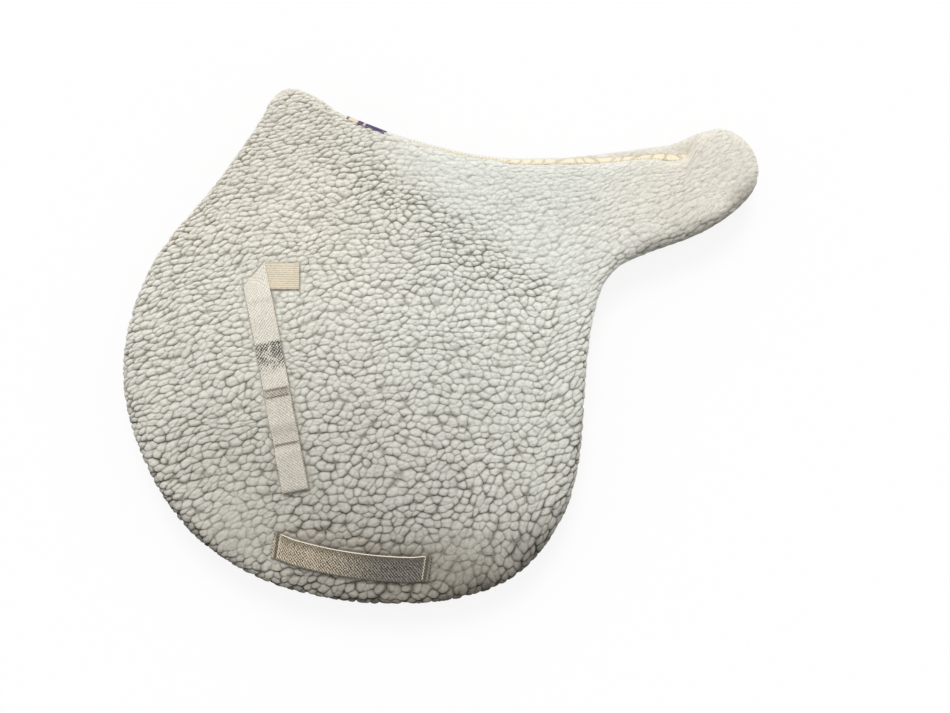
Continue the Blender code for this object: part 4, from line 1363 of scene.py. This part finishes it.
def tape_line():
    """The tape's middle line, its side, its up and its half width.

    Its near edge is drawn back with the near pile, and its off edge goes under towards
    the tail, so that the tape turns to face up there. Over the dip both stand proud. At
    its end it narrows to a point."""
    low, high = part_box("spine_tape")
    plan, out, _ = spine_places(low.x, high.x, TAPE_STATIONS)
    x = plan[:, :1]
    half = (high.z - low.z) / 2
    under = 5.0 * smooth((x - 0.075) / 0.12) * MM + 9.0 * smooth((x - 0.200) / 0.034) * MM
    proud = smooth((x + 0.06) / 0.05) * (1 - smooth((x - 0.115) / 0.07))
    near = np.concatenate([plan + out * ((0.8 + 0.6 * proud) * MM - drawn_back(x)),
                           np.full((TAPE_STATIONS, 1), MIDDLE + half)], 1)
    off = np.concatenate([plan + out * ((0.9 + 1.9 * proud) * MM - under),
                          MIDDLE - half + np.minimum(2.6 * under, half)], 1)
    middle, sides = (near + off) / 2, (near - off) / 2 / half
    whole = smooth((high.x - x) / (5 * MM))
    middle, sides = middle + sides * half * 0.2 * (1 - whole), sides * (0.12 + 0.88 * whole)
    step = along_path(middle)
    ups = np.cross(sides, step)
    ups /= np.linalg.norm(ups, axis=1)[:, None]
    ups *= np.sign((ups[:, :2] * out).sum(1))[:, None]
    return middle, sides, ups, half


def spine_tape(trim, material):
    """The satin tape over the spine, drawn up into small slanting gathers."""
    middle, sides, ups, half = tape_line()

    def gathers(run, across):
        """Narrow grooves a gather apart, their lean and their place wandering with noises,
        and fine cross ribs."""
        drift = 11 * MM * noise(run / (19 * MM), run * 0, 71)
        lean = run + across * (0.9 - 1.4 * noise(run / (14 * MM), run * 0, 72))
        fold = (0.5 + 0.5 * np.cos(2 * math.pi * (lean + drift) / trim.gather_pitch)) ** 4
        fine = np.cos(2 * math.pi * (run - across * 0.6 + drift * 0.3) / TAPE_RIB_PITCH)
        return -GATHER_DEPTH * fold + TAPE_RIB * fine

    shape = section(half, TAPE_HALF_THICKNESS, 22)
    piece = swept("spine_binding_tape", shape, (middle, sides, ups), material, gathers)
    ride_with_slot(piece, "spine", "tape", "spine_tape")


def spine_threads(material):
    """The two rows of stitches along the tape's edges, one every few of its stations."""
    middle, sides, ups, half = tape_line()
    pitch = TAPE_STITCH
    out = ups[pitch // 2 + 1:-6:pitch][:, None, :].mean(0)
    for name, side in SIDES.items():
        row = middle + sides * side * (half - 0.9 * MM) + ups * 1.0 * MM
        starts, ends = row[2:-pitch:pitch], row[pitch - 1:-3:pitch]
        piece = threads(f"spine_{name}_stitches", starts, ends, 0.3 * MM, 0.4 * MM, out,
                        material)
        ride_with_slot(piece, "spine", "thread", f"spine_{name}_stitch")


def spine_cords(material):
    """The seams that close the fold where the tape stops short of the peaks."""
    for name in ("front", "rear"):
        low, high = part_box(f"spine_{name}_seam")
        plan, out, _ = spine_places(low.x + 2 * MM, high.x - 2 * MM, 120)
        x = plan[:, :1]
        under_pile = smooth((x - 0.2) / 0.01) * smooth((0.256 - x) / 0.015)
        inwards = 1.3 * MM + 12 * MM * under_pile
        middle = np.concatenate([plan - out * inwards, np.full((len(plan), 1), MIDDLE)], 1)
        ups = np.tile([0.0, 0.0, 1.0], (len(plan), 1))
        sides = np.concatenate([out, np.zeros((len(plan), 1))], 1)
        angle = 2 * math.pi * np.arange(12) / 12
        shape = (CORD_RADIUS * np.cos(angle), CORD_RADIUS * np.sin(angle))

        def twist(run, across):
            """The twist of the cord: a cosine that goes round as it runs on."""
            return 0.1 * MM * np.cos(2 * math.pi * (run / CORD_LAY + across / CORD_LAY))

        piece = swept(f"spine_{name}_seam_cord", shape, (middle, sides, ups), material, twist)
        ride_with_slot(piece, "spine", "thread", f"spine_{name}_seam")


def spine_label(label_finish, thread_finish):
    """The label, folded over the tape and up the near fleece's rim, with its thread.

    Its profile is a smooth line through a few places out from the outline and up. The
    thread goes up one side of it, along its upper edge and down the other."""
    low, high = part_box("spine_label")
    plan, out, run = spine_places(low.x, high.x, 80)
    profile = np.array([(1.6, -5), (2.2, 0), (2.2, 4.5), (1.8, 8.5), (0.9, 12), (-0.6, 15),
                        (-2.6, 17.4)]) * MM
    t = np.linspace(0, len(profile) - 1, 60)
    marks = np.arange(len(profile))
    line = np.stack([np.interp(t, marks, profile[:, k]) for k in (0, 1)], 1)
    for _ in range(30):
        line[1:-1] = (line[:-2] + 2 * line[1:-1] + line[2:]) / 4
    centre, normal = plan.mean(0), out.mean(0)
    normal /= np.linalg.norm(normal)
    tangent = np.array([normal[1], -normal[0], 0])
    middle = np.concatenate([centre + normal * line[:, :1], MIDDLE + line[:, 1:]], 1)
    sides = np.tile(tangent, (len(line), 1))
    ups = np.cross(along_path(middle), sides)
    ups *= np.sign(ups @ np.array([*normal, 0.5]))[:, None]
    half = run[-1] / 2
    shape = section(half, 0.22 * MM, 70)

    def ripple(run, across):
        """Soft dents by a noise."""
        return 0.5 * MM * (noise(run / (9 * MM), across / (13 * MM), 301) - 0.5)

    label = swept("woven_label", shape, (middle, sides, ups), label_finish, ripple)
    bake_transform(label)
    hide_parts("spine_label")
    edge = half - 1.5 * MM
    up, over = np.arange(22) / 22, np.arange(30) / 30
    spots = np.concatenate([
        np.stack([0 * up - edge, up], 1), np.stack([-edge + 2 * edge * over, 0 * over + 1], 1),
        np.stack([0 * up + edge, 1 - up], 1),
    ])
    place = 6 + spots[:, 1] * (len(line) - 9)
    base = np.stack([np.interp(place, np.arange(len(line)), middle[:, k]) for k in range(3)], 1)
    lift = np.stack([np.interp(place, np.arange(len(line)), ups[:, k]) for k in range(3)], 1)
    base = base + tangent * spots[:, :1] + lift * 0.3 * MM
    gap = (base[1:] - base[:-1]) * 0.12
    piece = threads("woven_label_stitches", base[:-1] + gap, base[1:] - gap, 0.2 * MM,
                    0.2 * MM, lift.mean(0), thread_finish)
    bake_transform(piece)
    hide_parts("spine_label_stitch")


def seen_directly(tree):
    """1 for what the camera sees, also in gloss and through glass, and 0 for other light."""
    rays = tree.nodes.new("ShaderNodeLightPath")
    gloss = calc(tree, "MAXIMUM", rays.outputs["Is Glossy Ray"],
                 rays.outputs["Is Transmission Ray"])
    return calc(tree, "MAXIMUM", rays.outputs["Is Camera Ray"], gloss)


def make_stage(stage):
    """The pale floor, the even light, a soft sun and the camera that looks straight down.

    The floor and the world look white, and light the pad at their own plain levels."""
    corners = np.array([(-1, -1), (1, -1), (1, 1), (-1, 1)]) * FLOOR_HALF
    points = np.concatenate([corners, np.full((4, 1), FLOOR_LEVEL)], 1)
    floor_finish = bpy.data.materials.new("pale_floor")
    floor_finish.use_nodes = True
    tree = floor_finish.node_tree
    shader = tree.nodes["Principled BSDF"]
    shader.inputs["Base Color"].default_value = colour(stage.floor_colour)
    shader.inputs["Roughness"].default_value = 0.9
    glow = add(tree, "ShaderNodeEmission", {"Color": (1, 1, 1, 1), "Strength": 1.0})
    share = calc(tree, "MULTIPLY", seen_directly(tree), stage.floor_glow)
    blend = add(tree, "ShaderNodeMixShader", {0: share, 1: shader.outputs[0], 2: glow.outputs[0]})
    tree.links.new(blend.outputs[0], tree.nodes["Material Output"].inputs["Surface"])
    mesh_object("floor", points, [np.array([[0, 1, 2, 3]])], floor_finish)

    world = bpy.data.worlds.new("studio")
    world.use_nodes = True
    tree = world.node_tree
    level = calc(tree, "MULTIPLY_ADD", seen_directly(tree), 1 - stage.fill_level,
                 stage.fill_level)
    tree.nodes["Background"].inputs["Color"].default_value = (1, 1, 1, 1)
    tree.links.new(level, tree.nodes["Background"].inputs["Strength"])
    bpy.context.scene.world = world
    sun_data = bpy.data.lights.new("soft_sun", "SUN")
    sun_data.energy, sun_data.angle = stage.sun_level, SUN_WIDTH
    sun = bpy.data.objects.new("soft_sun", sun_data)
    sun.rotation_euler = Vector(SUN_TOWARD).to_track_quat("-Z", "Y").to_euler()
    bpy.context.scene.collection.objects.link(sun)

    data = bpy.data.cameras.new("camera")
    data.lens, data.sensor_width = LENS, SENSOR
    data.clip_start, data.clip_end = 0.01, 20
    camera = bpy.data.objects.new("camera", data)
    height = PANEL_TOP * 2 + VIEW_WIDTH * LENS / SENSOR
    camera.location = (*VIEW_CENTRE, height)
    camera.rotation_euler = (0, 0, VIEW_TURN)
    bpy.context.scene.collection.objects.link(camera)
    bpy.context.scene.camera = camera
    bpy.context.scene.view_settings.view_transform = "Standard"


def tint(name, text, values):
    """A colour setting."""
    return FloatVectorProperty(name=name, description=text, subtype="COLOR", size=3,
                               min=0, max=1, default=values)


def length(name, text, value, low=0.0):
    """A length setting, in metres."""
    return FloatProperty(name=name, description=text, subtype="DISTANCE", unit="LENGTH",
                         default=value, min=low, precision=5)


class PadFleece(bpy.types.PropertyGroup):
    """The fleece's sizes and colours."""

    curl_width: length("Curl Width", "Width of a curl of pile half way down", 8.4 * MM)
    curl_height: length("Curl Height", "Height of a curl of pile half way down", 6.7 * MM)
    curl_spread: FloatProperty(name="Curl Spread", description="Growth of a curl towards the hem",
                               default=0.0112, min=0.0001, max=0.02, precision=5)
    curl_drift: length("Curl Drift", "How far the rows of curls wander", 6 * MM)
    curl_depth: length("Curl Depth", "Depth of the crevices between curls", 4.0 * MM)
    near_step: length("Near Step", "Mesh step of the near outer fleece", 0.7 * MM, 0.3 * MM)
    off_step: length("Off Step", "Mesh step of the off outer fleece", 1.25 * MM, 0.3 * MM)
    lining_step: length("Lining Step", "Mesh step of the linings", 1.6 * MM, 0.3 * MM)
    tip_colour: tint("Tips", "Colour of the pile's tips", (0.86, 0.87, 0.80))
    warm_colour: tint("Warm Tips", "Colour of the yellowed tips", (0.92, 0.875, 0.775))
    # Tips darken to this colour by soil and by painted shade towards the hem.
    soil_and_shade_colour: tint("Soil", "Colour of soiled and shaded tips", (0.30, 0.27, 0.22))
    # The colours of the painted shade between clean and soiled curls.
    crevice_shade_colour: tint("Crevices", "Colour of the painted shade between the curls", (0.30, 0.255, 0.18))
    deep_shade_colour: tint("Deep Shade", "Colour of the painted shade between soiled curls", (0.10, 0.085, 0.068))
    # The colour of the painted shade round the rim.
    rim_shade_colour: tint("Rim", "Colour of the painted shade round the rim", (0.068, 0.058, 0.045))


class PadWebbing(bpy.types.PropertyGroup):
    """The webbing's sizes and colours."""

    rib: length("Rib", "Width of a rib of the webbing", 2.1 * MM, 0.1 * MM)
    pick: length("Pick", "Length of a pick of the twill", 3.1 * MM, 0.1 * MM)
    unevenness: length("Unevenness", "Length by which the weave wanders", 2.3 * MM)
    girth_tilt: FloatProperty(name="Girth Tilt", description="Tilt of the girth strap",
                              subtype="ANGLE", default=0.10, min=0, max=0.4)
    # Painted shade between the threads, and its extra depth where soiled.
    contrast: FloatProperty(name="Weave Contrast", description="Darkness between clean threads",
                            default=0.44, min=0, max=1)
    soiled_contrast: FloatProperty(name="Soiled Contrast", default=0.20, min=0, max=1,
                                   description="Extra darkness between soiled threads")
    clean_colour: tint("Clean", "Colour of clean webbing", (1.0, 0.94, 0.82))
    root_colour: tint("Sewn Leg", "Colour of the tab's sewn leg", (0.90, 0.80, 0.62))
    girth_colour: tint("Girth Strap", "Colour of the girth strap's front end", (0.86, 0.73, 0.54))
    soiled_colour: tint("Soiled", "Colour of soiled webbing", (0.30, 0.275, 0.235))
    # The colour of the painted highlight on the edges.
    edge_highlight_colour: tint("Edges", "Colour of the painted highlight on the edges", (0.90, 0.82, 0.64))
    # The colour of the painted shade in the folds.
    deep_shade_colour: tint("Deep Shade", "Colour of the painted shade in the folds", (0.10, 0.08, 0.055))
    thread_colour: tint("Thread", "Colour of the thread", (0.74, 0.68, 0.56))
    soiled_thread_colour: tint("Soiled Thread", "Colour of the tab's thread",
                               (0.24, 0.165, 0.115))


class PadTrim(bpy.types.PropertyGroup):
    """The tape's and the label's sizes and colours."""

    gather_pitch: length("Gather Pitch", "Length of one gather of the tape", 13 * MM, 1 * MM)
    tape_colour: tint("Tape", "Colour of the binding tape", (0.95, 0.86, 0.66))
    # The colour of the painted shade between the gathers.
    fold_shade_colour: tint("Tape Folds", "Colour between the tape's gathers", (0.62, 0.52, 0.34))
    band_colour: tint("Label Band", "Colour of the label's first band", (0.045, 0.018, 0.115))
    pale_colour: tint("Label Pale", "Colour of the label's narrow band", (0.62, 0.52, 0.62))
    warm_colour: tint("Label Warm", "Colour of the label's front band", (0.80, 0.66, 0.50))


class PadStage(bpy.types.PropertyGroup):
    """The floor and the light."""

    floor_colour: tint("Floor", "Colour of the floor", (0.9, 0.9, 0.9))
    floor_glow: FloatProperty(name="Floor White", description="Share of pure white seen",
                              default=0.85, min=0, max=1)
    fill_level: FloatProperty(name="Fill", description="Strength of the even light",
                              default=0.70, min=0, max=2)
    sun_level: FloatProperty(name="Sun", description="Strength of the soft sun",
                             default=1.55, min=0, max=5)


class PAD_OT_fleece(bpy.types.Operator):
    """Makes the four fleeces"""

    bl_idname = "saddle_pad.fleece"
    bl_label = "Make Fleeces"

    def execute(self, context):
        pads = context.scene.pad_fleece
        material = fleece_material(pads)
        field = panel_field()
        steps = {
            ("near", "outer"): pads.near_step, ("off", "outer"): pads.off_step,
            ("near", "lining"): pads.lining_step, ("off", "lining"): pads.lining_step,
        }
        for (side_name, kind), step in steps.items():
            piece = fleece_piece(field, pads, kind, side_name, step, material)
            nodes = [f"{side_name}_{kind}_fleece"]
            if kind == "outer":
                nodes += [f"{side_name}_foam_core", f"{side_name}_edge_seam"]
            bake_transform(piece)
            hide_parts(*nodes)
        return {"FINISHED"}


class PAD_OT_webbing(bpy.types.Operator):
    """Makes the girth straps, the tabs and their stitches"""

    bl_idname = "saddle_pad.webbing"
    bl_label = "Make Webbing"

    def execute(self, context):
        straps = context.scene.pad_webbing
        tab = tab_material(straps, "tab_webbing", straps.clean_colour, 0.0)
        root = tab_material(straps, "tab_root_webbing", straps.root_colour, 0.85)
        girth = girth_material(straps)
        thread = thread_material("cream_thread", straps.thread_colour, 0.4 * MM)
        soiled = thread_material("soiled_thread", straps.soiled_thread_colour, 0.4 * MM)
        for side_name in SIDES:
            tab_root(side_name, root)
            tab_strap(side_name, tab)
            girth_strap(side_name, straps, girth)
            strap_stitches(side_name, thread, soiled)
        return {"FINISHED"}


class PAD_OT_spine(bpy.types.Operator):
    """Makes the tape, its stitches, the seams at its ends and the label"""

    bl_idname = "saddle_pad.spine"
    bl_label = "Make Spine"

    def execute(self, context):
        trim = context.scene.pad_trim
        thread = thread_material("tape_thread", context.scene.pad_webbing.thread_colour, 0.4 * MM)
        spine_tape(trim, tape_material(trim))
        spine_threads(thread)
        spine_cords(thread)
        spine_label(label_material(trim), thread)
        return {"FINISHED"}


class PAD_OT_stage(bpy.types.Operator):
    """Makes the floor, the light and the camera"""

    bl_idname = "saddle_pad.stage"
    bl_label = "Make Stage"

    def execute(self, context):
        make_stage(context.scene.pad_stage)
        return {"FINISHED"}


class PAD_PT_panel(bpy.types.Panel):
    """Lists the pad's settings and its operators"""

    bl_label = "Saddle Pad"
    bl_idname = "PAD_PT_panel"
    bl_space_type = "VIEW_3D"
    bl_region_type = "UI"
    bl_category = "Saddle Pad"

    def draw(self, context):
        parts = (("pad_stage", "stage"), ("pad_fleece", "fleece"), ("pad_webbing", "webbing"),
                 ("pad_trim", "spine"))
        for key, operator in parts:
            box = self.layout.box()
            settings = getattr(context.scene, key)
            for name in settings.__annotations__:
                box.prop(settings, name)
            box.operator(f"saddle_pad.{operator}")


GROUPS = {"pad_fleece": PadFleece, "pad_webbing": PadWebbing, "pad_trim": PadTrim,
          "pad_stage": PadStage}
CLASSES = (*GROUPS.values(), PAD_OT_fleece, PAD_OT_webbing, PAD_OT_spine, PAD_OT_stage,
           PAD_PT_panel)


def register():
    """Registers the settings, the operators and the panel."""
    for cls in CLASSES:
        bpy.utils.register_class(cls)
    for key, group in GROUPS.items():
        setattr(bpy.types.Scene, key, PointerProperty(type=group))


def unregister():
    """Takes them away again."""
    for key in GROUPS:
        delattr(bpy.types.Scene, key)
    for cls in reversed(CLASSES):
        bpy.utils.unregister_class(cls)


def main():
    """Makes every piece in order."""
    register()
    bpy.ops.saddle_pad.stage()
    bpy.ops.saddle_pad.fleece()
    bpy.ops.saddle_pad.webbing()
    bpy.ops.saddle_pad.spine()


if __name__ == "__main__":
    main()
